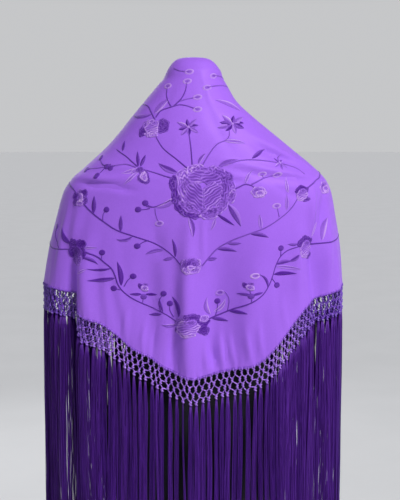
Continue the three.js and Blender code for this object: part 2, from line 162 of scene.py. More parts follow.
# Folds: angle, width in degrees, depth, height where it starts, height where it is full
BACK_FOLDS = [
    (-62, 6, 6, 1250, 1120), (-49, 3.2, -13, 1240, 1090), (-40, 5, 5, 1240, 1090),
    (-24, 7, -6, 1240, 1050), (-9, 3, 2, 1200, 1020), (-5, 2.6, -4, 1230, 1020),
    (0, 3.6, 5, 1300, 1050), (12, 4, -5, 1200, 1020), (31, 7, 5, 1240, 1060),
    (53, 6, -9, 1250, 1110), (68, 6, 5, 1250, 1120),
]
SIDE_AND_FRONT_FOLDS = [
    (96, 5, -10, 1230, 1120), (108, 5, 7, 1230, 1120), (121, 5, -12, 1260, 1130),
    (134, 4.5, 7, 1290, 1130), (145, 3.2, -10, 1300, 1130), (152, 2.4, 6, 1300, 1120),
    (158, 2.2, -9, 1310, 1100), (164, 2.2, 6, 1310, 1100), (169, 1.8, -4, 1300, 1060),
]
FOLDS = BACK_FOLDS + [(side * a, *rest) for a, *rest in SIDE_AND_FRONT_FOLDS for side in (-1, 1)]

# Creases too fine for the solids: place on the cloth (along, height), half length, half width,
# turn from level in degrees, depth (a ridge is positive)
CREASES = [
    # Down the middle of the back
    (-12, 1090, 114, 12, 89, 7.5), (15, 1197, 38, 5, 90, 1.8), (34, 1092, 98, 20, 83, -7.5),
    (88, 1108, 88, 19, 80, 8.0), (-54, 1184, 30, 12, 117, -2.0), (-68, 1100, 100, 25, 92, -9.0),
    (-118, 1120, 60, 9, 97, 2.4), (136, 1112, 62, 15, 90, -4.0), (-34, 1019, 28, 5, 86, -2.0),
    # Where the net pulls at the hem
    (20, 1006, 24, 4.6, 95, 3.4), (32, 1010, 22, 4.2, 100, -3.0), (44, 1017, 30, 4.5, 97, 3.4),
    (60, 1020, 24, 4.2, 99, 3.0), (83, 1027, 28, 4.8, 100, 3.4), (102, 1036, 28, 4.8, 97, 3.0),
    (-63, 1034, 22, 3.6, 84, -1.8), (-80, 1042, 24, 4.2, 84, 2.4), (-108, 1060, 26, 5.0, 84, 2.4),
    (140, 1075, 26, 5.0, 97, 1.8),
    # Down both sides
    (-166, 1129, 73, 12, 91, 4.5), (-187, 1180, 54, 12, 91, 6.5), (-136, 1104, 63, 9, 93, 3.0),
    (-213, 1200, 49, 10, 85, 2.5), (-232, 1150, 50, 8, 88, -2.5), (164, 1149, 53, 9, 89, 4.5),
    (196, 1160, 56, 10, 90, -5.0), (222, 1150, 56, 9, 89, 6.0),
    # Over the shoulders
    (144, 1294, 72, 4.2, 171, 3.4), (192, 1232, 38, 7, 88, 5.5), (216, 1226, 34, 7, 87, -5.5),
    (60, 1281, 22, 3.6, 178, -2.4), (122, 1286, 54, 6, 171, -2.6), (146, 1326, 55, 6, 155, 3.6),
    (138, 1316, 40, 7, 160, -6.0), (-166, 1284, 79, 5, 181, 2.4), (-158, 1274, 28, 4, 177, -5.0),
    (-108, 1268, 18, 3.8, 175, -3.8), (-136, 1282, 40, 4.5, 178, 2.0),
    (-119, 1301, 37, 6, 175, 1.6), (-100, 1288, 40, 4, 174, 1.2), (150, 1262, 34, 7, 156, -1.4),
    (-150, 1240, 40, 9, 34, -1.4), (-30, 1330, 34, 9, 62, 1.0), (40, 1355, 40, 9, 122, -1.2),
    (-40, 1405, 30, 7, 66, -1.0), (24, 1415, 34, 6, 110, 1.1),
]

# The dress form: height, then reach to the side, the back and the front
FORM_SECTIONS = [
    (1439.7, 42, 42, 42), (1420, 44, 44, 43), (1400, 49, 47, 46), (1385, 61, 52, 50),
    (1368, 80, 60, 56), (1348, 104, 69, 63), (1328, 129, 77, 71), (1308, 154, 84, 78),
    (1292, 174, 89, 84), (1276, 187, 93, 90), (1258, 192, 97, 96), (1232, 188, 99, 105),
    (1205, 172, 100, 115), (1180, 158, 99, 120), (1150, 148, 96, 117), (1105, 134, 91, 106),
    (1055, 120, 84, 93), (1010, 114, 81, 87), (960, 121, 84, 89), (905, 142, 92, 95),
    (850, 156, 97, 99), (800, 158, 97, 99), (765, 153, 93, 95), (745, 140, 83, 85),
]
FORM_SQUARENESS = 2.2
FORM_ROWS = 170
FORM_COLUMNS = 128
FORM_EDGE_ROUND = 8
FORM_SEAMS = (0, -36, 36, -90, 90, 180, -146, 146)  # angles from the middle of the back
SEAM_DEPTH = 0.9
SEAM_WIDTH = 1.6

# Turned pieces: radius and height of each corner, with the round at that corner
TURNED = {
    "neck_cap": ("form_neck_cap", "cap", [
        (0, 1472.4, 0), (12.5, 1472.1, 3), (24.2, 1470, 6), (32.6, 1463.8, 6),
        (39.6, 1453.4, 6), (42.4, 1440, 0.5), (0, 1440, 0),
    ]),
    "mounting_flange": ("stand_flange", "steel", [
        (0, 744.7, 0), (48, 744.7, 1.2), (48, 738, 4), (20, 732.7, 3), (0, 732.7, 0),
    ]),
    "pole": ("stand_pole", "steel", [
        (0, 732.4, 0), (12.5, 732.4, 0.6), (12.5, 13.3, 0.6), (0, 13.3, 0),
    ]),
    "pole_collar": ("stand_collar", "steel", [
        (12.8, 49.3, 0.4), (16, 49.3, 1.5), (17.5, 30, 8), (24, 20, 4), (24, 13.3, 0.5),
        (12.8, 13.3, 0.4),
    ]),
    "round_base": ("stand_base", "steel", [
        (0, 13, 0), (60, 13, 20), (186, 7, 5), (190, 5, 2), (190, 0, 0.8), (0, 0, 0),
    ]),
}
TURNED_SEGMENTS = 128
ROUND_STEPS = 6

# Camera: the photograph's distance, fall and field of view
CAMERA_DISTANCE = 1500
CAMERA_PITCH = 7
CAMERA_X = 10.7
AIM_HEIGHT = 1163
MM_PER_PIXEL = 1.65
IMAGE_HEIGHT = 500
SENSOR = 36

# Stage and light, in metres
FLOOR_RADIUS = 90
HORIZON_STRENGTH = 0.58
HORIZON_TOP = 0.14  # sine of the height up to which the room is as bright as at the horizon
ROOM_STRENGTH = 0.14
ROOM_FROM = 0.3  # and of the height from which it is as dark as overhead
ROOM_COLOUR = (0.97, 0.98, 1.0, 1.0)
KEY_STRENGTH = 3.25
KEY_SOFTNESS = 14  # degrees across
KEY_FROM = (0.46, -0.5, 0.72)
FILL_POWER = 18
FILL_PLACE = (-0.8, 2.8, 2.0)
FILL_AIM = (0, 0, 1.1)
FILL_SIZE = (2.4, 2.0)


# Tables and curves


def along(table, at):
    """Every column of a table at the heights or angles `at`, on a smooth curve through its rows."""
    rows = np.array(sorted(table), float)
    keys, values = rows[:, 0], rows[:, 1:]
    at = np.clip(np.asarray(at, float), keys[0], keys[-1])
    i = np.clip(np.searchsorted(keys, at, side="right") - 1, 0, len(keys) - 2)
    before = np.maximum(i - 1, 0)
    after = np.minimum(i + 2, len(keys) - 1)
    span = (keys[i + 1] - keys[i])[..., None]
    slope_in = (values[i + 1] - values[before]) / (keys[i + 1] - keys[before])[..., None]
    slope_out = (values[after] - values[i]) / (keys[after] - keys[i])[..., None]
    t = (at - keys[i])[..., None] / span
    a = 2 * t**3 - 3 * t**2 + 1
    b = t**3 - 2 * t**2 + t
    c = -2 * t**3 + 3 * t**2
    d = t**3 - t**2
    return a * values[i] + b * span * slope_in + c * values[i + 1] + d * span * slope_out


def smooth(t):
    t = np.clip(t, 0, 1)
    return t * t * (3 - 2 * t)


def unit(v):
    return v / np.maximum(np.linalg.norm(v, axis=-1, keepdims=True), 1e-12)


def cosine_and_sine(degrees):
    return math.cos(math.radians(degrees)), math.sin(math.radians(degrees))


def lengths_along(line):
    """Length from a line's first point to each of its points."""
    return np.concatenate([[0], np.cumsum(np.linalg.norm(np.diff(line, axis=0), axis=1))])


def level_point(reach, angle, squareness):
    """x and y of a level section at an angle from the middle of the back. Left is negative."""
    turn = np.radians(angle)
    sine, cosine = np.sin(turn), np.cos(turn)
    side = np.where(sine < 0, reach[..., 0], reach[..., 1])
    depth = np.where(cosine > 0, reach[..., 2], reach[..., 3])
    x = np.sign(sine) * side * np.abs(sine) ** (2 / squareness)
    y = -np.sign(cosine) * depth * np.abs(cosine) ** (2 / squareness)
    return x, y


def spline(points, step):
    """A smooth line through points, with a point about every step. Returns an (n, 2) array."""
    p = np.array(points, float)
    counts = np.maximum(2, (np.linalg.norm(np.diff(p, axis=0), axis=1) / step).astype(int) + 1)
    if len(p) == 2:
        return p[0] + (p[1] - p[0]) * np.linspace(0, 1, counts[0])[:, None]
    p = np.vstack([2 * p[0] - p[1], p, 2 * p[-1] - p[-2]])
    parts = []
    for k, count in enumerate(counts):
        a, b, c, d = p[k:k + 4]
        t = np.linspace(0, 1, count, endpoint=False)[:, None]
        rise, bend, turn = c - a, 2 * a - 5 * b + 4 * c - d, 3 * b - a - 3 * c + d
        parts.append(0.5 * (2 * b + rise * t + bend * t**2 + turn * t**3))
    return np.vstack([*parts, p[-2:-1]])


# The cloth's surface

WALL_SECTIONS = SECTIONS[3:]
HANGING_SECTIONS = SECTIONS[NECK_EDGE_SECTION:]


def cloth_reach(z):
    return along(WALL_SECTIONS, z)


def edge_angle(z):
    """Angle of the long edge at a height, from the opening's half width there."""
    reach = along(HANGING_SECTIONS, z)
    half = along(FRONT_OPENING, z)[..., 0]
    share = half / ((reach[..., 0] + reach[..., 1]) / 2)
    angle = 180 - np.degrees(np.arcsin(np.clip(share, 0, 1) ** (SQUARENESS / 2)))
    return np.where(np.asarray(z) >= NECK_EDGE_Z, 180.0, angle)


def fold_depth(angle, z):
    total = np.zeros(np.broadcast(angle, z).shape)
    for centre, width, depth, start, full in FOLDS:
        grown = smooth((start - z) / (start - full))
        total += depth * grown * np.exp(-(((angle - centre) / width) ** 2))
    return total


class ArcTable:
    """Length along the level section from the middle of the back, at each angle, and its inverse."""

    Z = np.arange(820, 1466, 3.0)
    ANGLES = np.linspace(0, 180, 361)
    LENGTHS = np.arange(0, 640, 2.0)

    def __init__(self):
        reach = cloth_reach(self.Z)[:, None, :]
        self.length = {}
        self.angle = {}
        for side in (-1, 1):
            x, y = level_point(reach, side * (self.ANGLES + NUDGE), SQUARENESS)
            step = np.hypot(np.diff(x, axis=1), np.diff(y, axis=1))
            lengths = np.cumsum(np.pad(step, ((0, 0), (1, 0))), axis=1)
            self.length[side] = lengths
            self.angle[side] = np.array([np.interp(self.LENGTHS, row, self.ANGLES) for row in lengths])

    @staticmethod
    def look_up(grid, row, column):
        row = np.clip(row, 0, grid.shape[0] - 1.001)
        column = np.clip(column, 0, grid.shape[1] - 1.001)
        r, c = row.astype(int), column.astype(int)
        fr, fc = row - r, column - c
        low = grid[r, c] * (1 - fc) + grid[r, c + 1] * fc
        high = grid[r + 1, c] * (1 - fc) + grid[r + 1, c + 1] * fc
        return low * (1 - fr) + high * fr

    def find(self, grids, value, step, z):
        value, z = np.broadcast_arrays(np.asarray(value, float), np.asarray(z, float))
        row = (z - self.Z[0]) / (self.Z[1] - self.Z[0])
        left = self.look_up(grids[-1], row, np.abs(value) / step)
        right = self.look_up(grids[1], row, np.abs(value) / step)
        return np.where(value < 0, -left, right)

    def length_at(self, angle, z):
        return self.find(self.length, angle, self.ANGLES[1], z)

    def angle_at(self, length, z):
        return self.find(self.angle, length, self.LENGTHS[1], z)


arcs = ArcTable()


def crease_depth(angle, z):
    """The fine creases, soft ridges and troughs laid out on the surface."""
    s = arcs.length_at(angle, z)
    total = np.zeros(s.shape)
    for place, height, half_length, half_width, turn, depth in CREASES:
        cosine, sine = cosine_and_sine(turn)
        du, dv = s - place, z - height
        lengthwise = (du * cosine + dv * sine) / half_length
        across = (-du * sine + dv * cosine) / half_width
        bow = across + CREASE_BOW * lengthwise**2
        total += depth * np.exp(-(lengthwise**2) - bow**2)
    return total


def cloth_point(angle, z, reach=None):
    """Points of the cloth's middle surface, (..., 3) in millimetres."""
    angle, z = np.broadcast_arrays(np.asarray(angle, float), np.asarray(z, float))
    x, y = level_point(cloth_reach(z) if reach is None else reach, angle, SQUARENESS)
    outwards = unit(np.stack([x, y * DEPTH_TURN], axis=-1))
    out = fold_depth(angle, z) + crease_depth(angle, z)
    return np.stack([x + outwards[..., 0] * out, y + outwards[..., 1] * out, z], axis=-1)


def hem_height(station):
    heights = along(HEM, np.abs(station))
    return np.where(np.asarray(station) < 0, heights[..., 0], heights[..., 1])


def hanging_angle(station, z):
    return station * edge_angle(z) / CORNER_ANGLE


def hem_point(station):
    z = hem_height(station)
    return cloth_point(hanging_angle(station, z), z)


def hem_stations(side, count):
    """Angles of stations at even steps along one side's hem, from the middle of the back."""
    angles = np.arange(0, CORNER_ANGLE + 0.125, 0.25)
    points = hem_point(side * angles)
    length = lengths_along(points * (1, 1, RISE_WEIGHT))
    return side * np.interp(np.linspace(0, length[-1], count + 1), length, angles)


def on_cloth(s, z, lift):
    """Points over the cloth at a place (length from the middle of the back, height) and a lift."""
    reach = 1.0

    def at(ds, dz):
        return cloth_point(arcs.angle_at(s + ds, z + dz), z + dz)

    across = at(reach, 0) - at(-reach, 0)
    up = at(0, reach) - at(0, -reach)
    normal = unit(np.cross(across, up))
    return at(0, 0) + normal * np.asarray(lift)[..., None]


# Making meshes


def new_mesh(name, points_mm, faces, material):
    """A smooth mesh object from points in millimetres and an array or a list of faces."""
    mesh = bpy.data.meshes.new(name)
    mesh.from_pydata((np.asarray(points_mm) * MM).tolist(), [], [list(map(int, f)) for f in faces])
    mesh.polygons.foreach_set("use_smooth", [True] * len(mesh.polygons))
    mesh.materials.append(material)
    mesh.update()
    piece = bpy.data.objects.new(name, mesh)
    bpy.context.scene.collection.objects.link(piece)
    return piece


def point_values(piece, name, values):
    """Writes one number for each point of a piece's mesh."""
    attribute = piece.data.attributes.new(name, "FLOAT", "POINT")
    attribute.data.foreach_set("value", np.asarray(values, np.float32).ravel())


def grid_faces(rows, columns, closed=False):
    """Quads of a grid of points, row after row. A closed grid joins its last column to its first."""
    r = np.arange(rows - 1)[:, None] * columns
    c = np.arange(columns if closed else columns - 1)
    after = (c + 1) % columns
    quads = [r + c, r + after, r + columns + after, r + columns + c]
    return np.stack(quads, axis=-1).reshape(-1, 4)


def tubes(paths, normals, radius, sides):
    """Round tubes with closed ends along paths of the same count of points.

    paths is (tubes, points, 3), and normals and radius fit it. Returns points and faces."""
    ahead = unit(np.gradient(paths, axis=1))
    side = unit(np.cross(ahead, normals))
    up = np.cross(side, ahead)
    turn = -np.arange(sides)[:, None] * 2 * math.pi / sides
    ring = side[:, :, None] * np.cos(turn) + up[:, :, None] * np.sin(turn)
    count, length = paths.shape[:2]
    radius = np.broadcast_to(radius, (count, length))[:, :, None, None]
    points = paths[:, :, None] + ring * radius
    first = np.arange(count)[:, None] * length * sides
    walls = (grid_faces(length, sides, closed=True) + first[:, None]).reshape(-1, 4)
    start = first + np.arange(sides)[::-1]
    end = first + (length - 1) * sides + np.arange(sides)
    return points.reshape(-1, 3), [*walls.tolist(), *start.tolist(), *end.tolist()]


class Stack:
    """Collects points, faces and one number a point for a piece made of many small shapes."""

    def __init__(self):
        self.points = []
        self.faces = []
        self.values = []
        self.count = 0

    def add(self, points, faces, value):
        points = np.asarray(points, float).reshape(-1, 3)
        self.points.append(points)
        self.faces.extend([[int(i) + self.count for i in f] for f in faces])
        self.values.append(np.broadcast_to(value, len(points)))
        self.count += len(points)

    def piece(self, name, material, value_name):
        made = new_mesh(name, np.vstack(self.points), self.faces, material)
        point_values(made, value_name, np.concatenate(self.values))
        return made


# Materials


class Nodes:
    """Short calls for one material's nodes."""

    def __init__(self, name):
        self.material = bpy.data.materials.new(name)
        self.material.use_nodes = True
        self.tree = self.material.node_tree
        self.shader = self.tree.nodes["Principled BSDF"]

    def add(self, kind, **inputs):
        node = self.tree.nodes.new(kind)
        for key, value in inputs.items():
            self.join(value, node.inputs[key.replace("_", " ")])
        return node

    def join(self, value, socket):
        if isinstance(value, bpy.types.NodeSocket):
            self.tree.links.new(value, socket)
        else:
            socket.default_value = value

    def place(self):
        return self.add("ShaderNodeTexCoord").outputs["Object"]

    def noise(self, scale, detail, stretch=(1, 1, 1)):
        vector = self.add("ShaderNodeMapping", Vector=self.place(), Scale=stretch).outputs["Vector"]
        return self.add("ShaderNodeTexNoise", Vector=vector, Scale=scale, Detail=detail).outputs["Fac"]

    def wave(self, scale, distortion, direction):
        node = self.add("ShaderNodeTexWave", Vector=self.place(), Scale=scale, Distortion=distortion)
        node.bands_direction = direction
        return node.outputs["Fac"]

    def value(self, name):
        """The number that a piece's points carry under this name."""
        node = self.tree.nodes.new("ShaderNodeAttribute")
        node.attribute_name = name
        return node.outputs["Fac"]

    def stripes(self, name, pitch):
        """Fine stripes across a value in millimetres, from -1 to 1."""
        return self.maths("SINE", self.maths("MULTIPLY", self.value(name), 2 * math.pi / pitch))

    def maths(self, operation, a, b=0.0):
        node = self.tree.nodes.new("ShaderNodeMath")
        node.operation = operation
        self.join(a, node.inputs[0])
        self.join(b, node.inputs[1])
        return node.outputs["Value"]

    def blend(self, share, first, second):
        node = self.tree.nodes.new("ShaderNodeMix")
        node.data_type = "RGBA"
        self.join(share, node.inputs["Factor"])
        self.join(first, node.inputs[6])
        self.join(second, node.inputs[7])
        return node.outputs[2]

    def tint(self, colour, second, value, low, high, most=1.0):
        """A colour with a share of a second one, up to `most` where a value reaches high."""
        share = self.add("ShaderNodeMapRange", Value=value, From_Min=low, From_Max=high, To_Max=most)
        return self.blend(share.outputs["Result"], colour, second)

    def bump(self, height, distance, strength, under=None):
        node = self.add("ShaderNodeBump", Height=height, Distance=distance, Strength=strength)
        if under:
            self.join(under, node.inputs["Normal"])
        return node.outputs["Normal"]

    def finish(self, colour, normal, **settings):
        self.join(colour, self.shader.inputs["Base Color"])
        self.join(normal, self.shader.inputs["Normal"])
        for key, value in settings.items():
            self.join(value, self.shader.inputs[key.replace("_", " ")])
        return self.material


def srgb(red, green, blue):
    """Linear colour from the 0 to 255 values of a screen colour."""
    def linear(v):
        v /= 255
        return v / 12.92 if v <= 0.04045 else ((v + 0.055) / 1.055) ** 2.4

    return (linear(red), linear(green), linear(blue), 1.0)


def crepe_material():
    n = Nodes("violet_crepe")
    grain = n.maths("MULTIPLY", n.noise(1400, 2.0), 0.5)
    pebble = n.maths("MULTIPLY", n.noise(520, 2.0), 0.5)
    crinkle = n.maths("ADD", grain, pebble)
    weave = n.maths("MULTIPLY", n.stripes("height", WEAVE_PITCH), n.stripes("along", WEAVE_PITCH))
    colour = n.tint(srgb(160, 103, 230), srgb(166, 108, 236), n.noise(9, 3.0), 0.3, 0.7)
    colour = n.tint(colour, srgb(112, 58, 190), crinkle, 0.35, 0.65, 0.14)
    normal = n.bump(weave, 0.00004, 0.4)
    normal = n.bump(crinkle, 0.00015, 0.4, normal)
    return n.finish(
        colour, normal, Roughness=0.45, Specular_IOR_Level=0.3, Specular_Tint=srgb(214, 170, 255),
    )


def embroidery_material():
    n = Nodes("silk_embroidery")
    stitch = n.stripes("thread", STITCH_PITCH)
    fibre = n.noise(900, 2.0)
    tone = n.value("tone")
    # The tone paints sheen and shade on one violet silk: towards 1 deep violet, painted shade of
    # stitches turned from the light; below 0 pale, painted highlight of stitches that catch it
    colour = n.tint(srgb(165, 108, 234), srgb(74, 8, 144), tone, 0, 1)
    colour = n.tint(colour, srgb(234, 192, 255), tone, 0, -1)
    # painted shade: darker in the troughs between the stitches
    colour = n.tint(colour, srgb(70, 22, 132), stitch, 1, -1, 0.2)
    colour = n.tint(colour, srgb(176, 124, 244), fibre, 0.35, 0.7, 0.1)
    normal = n.bump(stitch, 0.00018, 0.6)
    normal = n.bump(fibre, 0.0001, 0.4, normal)
    return n.finish(
        colour, normal, Roughness=0.36, Specular_IOR_Level=0.42, Specular_Tint=srgb(200, 150, 255),
    )


def thread_material(name, deep, pale, **settings):
    """Silk thread: its tone differs from yarn to yarn, and on the net it carries painted shade too,
    with a fine twist along it.
    """
    n = Nodes(name)
    fibre = n.noise(700, 3.0, (1, 1, 0.15))
    colour = n.tint(n.blend(n.value("tone"), deep, pale), deep, fibre, 0.3, 0.7, 0.3)
    normal = n.bump(n.wave(260.0, 2.0, "DIAGONAL"), 0.00012, 0.5)
    normal = n.bump(fibre, 0.0001, 0.4, normal)
    return n.finish(colour, normal, **settings)


def jersey_material():
    n = Nodes("black_jersey")
    knit = n.maths("MULTIPLY", n.wave(230.0, 1.2, "X"), n.wave(300.0, 1.0, "Z"))
    fluff = n.noise(420, 3.0)
    colour = n.tint(srgb(20, 20, 30), srgb(30, 30, 42), fluff, 0.3, 0.7)
    normal = n.bump(knit, 0.0002, 0.6)
    normal = n.bump(fluff, 0.0002, 0.4, normal)
    return n.finish(colour, normal, Roughness=0.85, Specular_IOR_Level=0.25, Sheen_Weight=0.2)


def cap_material():
    n = Nodes("satin_black_cap")
    colour = n.tint(srgb(22, 22, 24), srgb(32, 32, 35), n.noise(20, 2.0), 0.3, 0.7)
    return n.finish(colour, n.bump(n.noise(800, 4.0), 0.0001, 0.4), Roughness=0.45)


def steel_material():
    n = Nodes("black_powder_coat")
    colour = n.tint(srgb(30, 30, 33), srgb(52, 52, 56), n.noise(40, 4.0), 0.45, 0.75)
    normal = n.bump(n.noise(500, 2.0), 0.00012, 0.5)
    return n.finish(colour, normal, Roughness=0.55, Specular_IOR_Level=0.3)


def floor_material():
    n = Nodes("pale_floor")
    colour = n.blend(n.noise(3, 4.0), srgb(198, 199, 202), srgb(206, 207, 210))
    return n.finish(colour, n.bump(n.noise(300, 3.0), 0.0001, 0.2), Roughness=0.8)


# The draped cloth


def cloth_rows():
    """Rows of points of the cloth from the crown down to the hem, with each point's angle."""
    left = hem_stations(-1, CLOTH_COLUMNS)
    right = hem_stations(1, CLOTH_COLUMNS)
    stations = np.concatenate([left[:0:-1], right])
    shut = stations * 180 / CORNER_ANGLE
    rows = []
    angles = []
    crown = np.array(SECTIONS[: CROWN_SECTIONS + 1][::-1], float)
    table = np.column_stack([np.arange(len(crown)), crown]).tolist()
    for t in np.linspace(CROWN_SECTIONS, 0, CROWN_ROWS)[1:-1]:
        level = along(table, t)
        x, y = level_point(level[1:], shut, SQUARENESS)
        rows.append(np.column_stack([x, y, np.full(len(x), level[0])]))
        angles.append(shut)
    upper = np.linspace(SECTIONS[CROWN_SECTIONS][0], NECK_EDGE_Z, NECK_ROWS, endpoint=False)
    lower = np.linspace(NECK_EDGE_Z, SHOULDER_Z, SHOULDER_ROWS, endpoint=False)
    for z in np.concatenate([upper, lower]):
        turned = stations * float(edge_angle(z)) / CORNER_ANGLE
        rows.append(cloth_point(turned, z))
        angles.append(turned)
    for share in np.linspace(0, 1, HANGING_ROWS):
        z = SHOULDER_Z + (hem_height(stations) - SHOULDER_Z) * share
        turned = hanging_angle(stations, z)
        rows.append(cloth_point(turned, z))
        angles.append(turned)
    return stations, np.array(rows), np.array(angles)


def with_pulled_hem(points, stations):
    """Moves the rows near the hem in and out where the net's threads pull at it."""
    hem = points[-1]
    side = np.where(stations < 0, -1, 1)
    place = np.where(stations < 0, hem_lines[-1].place_at(stations), hem_lines[1].place_at(stations))
    above = points[:, :, 2] - hem[None, :, 2]
    wave = np.cos(2 * math.pi * place) * (1 + PUCKER_UNEVENNESS * np.sin(1.7 * place + side))
    push = PUCKER_HEIGHT * wave[None, :] * np.exp(-above / PUCKER_REACH)
    outwards = unit(points * (1, DEPTH_TURN, 0))
    return points + outwards * push[..., None]


def surface_normals(points):
    """Outward directions of the cloth's grid, from its neighbours on the grid."""
    down = np.gradient(points, axis=0)
    across = np.gradient(points, axis=1)
    wrapped = points[:RING_ROWS, 1] - points[:RING_ROWS, -2]
    across[:RING_ROWS, 0] = across[:RING_ROWS, -1] = wrapped
    return unit(np.cross(down, across))


def shell_faces(outer_shape, inner_shape):
    """Faces of the cloth. Its points are the outer grid, the coarser inner one, then a top for each."""
    rows, columns = outer_shape
    few_rows, few_columns = inner_shape
    number = np.arange(rows * columns).reshape(outer_shape)
    low = np.arange(few_rows * few_columns).reshape(inner_shape) + rows * columns
    top = rows * columns + few_rows * few_columns
    low_rings = -(-RING_ROWS // INNER_STEP)
    number[:RING_ROWS, -1] = number[:RING_ROWS, 0]
    low[:low_rings, -1] = low[:low_rings, 0]

    def walls(n):
        return np.stack([n[:-1, :-1], n[1:, :-1], n[1:, 1:], n[:-1, 1:]], axis=-1).reshape(-1, 4)

    faces = walls(number).tolist() + walls(low)[:, ::-1].tolist()
    faces += [[top, number[0, c], number[0, c + 1]] for c in range(columns - 1)]
    faces += [[top + 1, low[0, c + 1], low[0, c]] for c in range(few_columns - 1)]
    for c in range(few_columns - 1):
        fine = number[-1, c * INNER_STEP : (c + 1) * INNER_STEP + 1]
        faces.append([*fine[::-1], low[-1, c], low[-1, c + 1]])
    for r in range(low_rings - 1, few_rows - 1):
        fine = number[r * INNER_STEP : (r + 1) * INNER_STEP + 1]
        faces.append([*fine[:, 0], low[r + 1, 0], low[r, 0]])
        faces.append([*fine[::-1, -1], low[r, -1], low[r + 1, -1]])
    return faces


def make_cloth(material):
    """The draped cloth: a fine outer surface and a coarser inner one, joined at the edges."""
    stations, points, angles = cloth_rows()
    points = with_pulled_hem(points, stations)
    half = surface_normals(points) * CLOTH_SHELL / 2
    outer = points + half
    inner = (points - half)[::INNER_STEP, ::INNER_STEP]
    faces = shell_faces(outer.shape[:2], inner.shape[:2])
    crown_top = SECTIONS[0][0]
    tops = [(0, 0, crown_top + CLOTH_SHELL / 2), (0, 0, crown_top - CLOTH_SHELL / 2)]
    all_points = np.vstack([outer.reshape(-1, 3), inner.reshape(-1, 3), tops])
    used = np.unique(np.concatenate([np.ravel(f) for f in faces]))
    renumber = np.full(len(all_points), -1)
    renumber[used] = np.arange(len(used))
    piece = new_mesh("draped_crepe", all_points[used], [renumber[f] for f in faces], material)
    z = points[..., 2]
    for name, values in (("along", arcs.length_at(angles, z)), ("height", z)):
        few = values[::INNER_STEP, ::INNER_STEP]
        every = np.concatenate([values.ravel(), few.ravel(), [0, 0]])
        point_values(piece, name, every[used])
    return piece, outer


class HemLine:
    """One side's hem by length, counted in locks of the fringe from the middle of the back."""

    def __init__(self, side):
        self.side = side
        self.stations = np.linspace(0, CORNER_ANGLE, HEM_STEPS)
        line = hem_point(side * (self.stations + NUDGE))
        length = lengths_along(line)
        self.line = line
        self.pitch = length[-1] / STRANDS_PER_SIDE
        self.places = length / self.pitch
        level = np.hypot(*np.gradient(line[:, :2], axis=0).T)
        slope = np.arctan2(np.gradient(line[:, 2]), level)
        reach = int(SLOPE_REACH * len(line) / length[-1])
        self.slope = np.convolve(np.pad(slope, reach, "edge"), np.ones(2 * reach + 1), "valid")
        self.slope /= 2 * reach + 1

    def place_at(self, station):
        return np.interp(np.abs(station), self.stations, self.places)

    def at(self, place, column):
        return np.interp(place, self.places, column)

    def net_point(self, place, depth):
        """Point of the net at a place along the hem and a depth below it."""
        place, depth = np.broadcast_arrays(np.asarray(place, float), np.asarray(depth, float))
        slope = np.clip(self.at(place, self.slope), -NET_STEEPEST, NET_STEEPEST)
        middle = smooth(place / LEAN_START)
        moved = place + NET_LEAN * middle * depth * np.sin(slope) / self.pitch
        moved = np.clip(moved, 0, STRANDS_PER_SIDE)
        loose = NET_SWAY * smooth(depth / NET_HEIGHT * 2)
        turn = SWAY_ALONG[0] * place + SWAY_ALONG[1] * depth + self.side
        moved = moved + loose * np.sin(turn) / self.pitch
        moved = np.clip(moved, 0, STRANDS_PER_SIDE)
        turn = SWAY_DOWN[0] * place + SWAY_DOWN[1] * depth
        depth = depth + loose * np.sin(turn) * (depth < NET_HEIGHT)
        point = np.stack([self.at(moved, self.line[:, k]) for k in range(3)], axis=-1)
        return point - np.stack([0 * depth, 0 * depth, depth], axis=-1)

    def level_normal(self, place):
        """Level outward direction at a place along the hem."""
        before = self.net_point(np.maximum(place - 0.4, 0), 0)
        after = self.net_point(np.minimum(place + 0.4, STRANDS_PER_SIDE), 0)
        run = after - before
        return unit(np.stack([run[..., 1], -run[..., 0], 0 * run[..., 0]], axis=-1)) * self.side


hem_lines = {side: HemLine(side) for side in (-1, 1)}


# The knotted net and the fringe


def knots(hem, places, depth, size):
    """One row of knots: two slanted turns of yarn round a core."""
    centre = hem.net_point(places, depth)[:, None]
    out = hem.level_normal(places)[:, None]
    across = unit(np.cross(DOWN, out))
    made = []
    for height, slant in KNOT_TURNS:
        path = (
            centre
            + across * (KNOT_WIDTH * 0.36 * np.cos(KNOT_TURN)) * size
            + out * (KNOT_WIDTH * 0.3 * np.sin(KNOT_TURN)) * size
            + DOWN * (KNOT_HEIGHT * (height + slant * np.cos(KNOT_TURN) * 0.5)) * size
        )
        made.append(tubes(path, DOWN, YARN_RADIUS * 1.35 * size, 5))
    core = centre + DOWN * (KNOT_HEIGHT * 0.5 * np.linspace(-1, 1, len(KNOT_CORE))[:, None]) * size
    made.append(tubes(core, out, np.array(KNOT_CORE) * size, 6))
    return made


def legs(hem, start, start_depth, end, end_depth):
    """Pairs of twisted yarns from the foot of one knot to the head of the next."""
    t = np.linspace(0, 1, LEG_STEPS + 1)
    twist = math.pi * t * LEG_TWIST
    depth = start_depth + (end_depth - start_depth) * t
    made = []
    for ply in (-1, 1):
        sway = ply * LEG_WIDTH * np.cos(twist) / hem.pitch
        place = start[:, None] + (end - start)[:, None] * smooth(t) + sway
        path = hem.net_point(np.maximum(place, 0), depth)
        normal = hem.level_normal(place)
        path = path + normal * (ply * LEG_DEPTH * np.sin(twist))[:, None]
        made.append(tubes(path, normal, YARN_RADIUS, 4))
    return made


def hem_loops(hem, places):
    """Loops of yarn that tie the net to the rolled hem."""
    radius = HEM_RADIUS + YARN_RADIUS * 0.7
    out = hem.level_normal(places)[:, None]
    path = hem.net_point(places, 0.3)[:, None] + out * (radius * np.sin(KNOT_TURN))
    path = path - DOWN * (radius * 1.25 * np.cos(KNOT_TURN))
    along_hem = unit(hem.net_point(places + 0.1, 0) - hem.net_point(np.maximum(places - 0.1, 0), 0))
    return [tubes(path, along_hem[:, None], YARN_RADIUS, 4)]


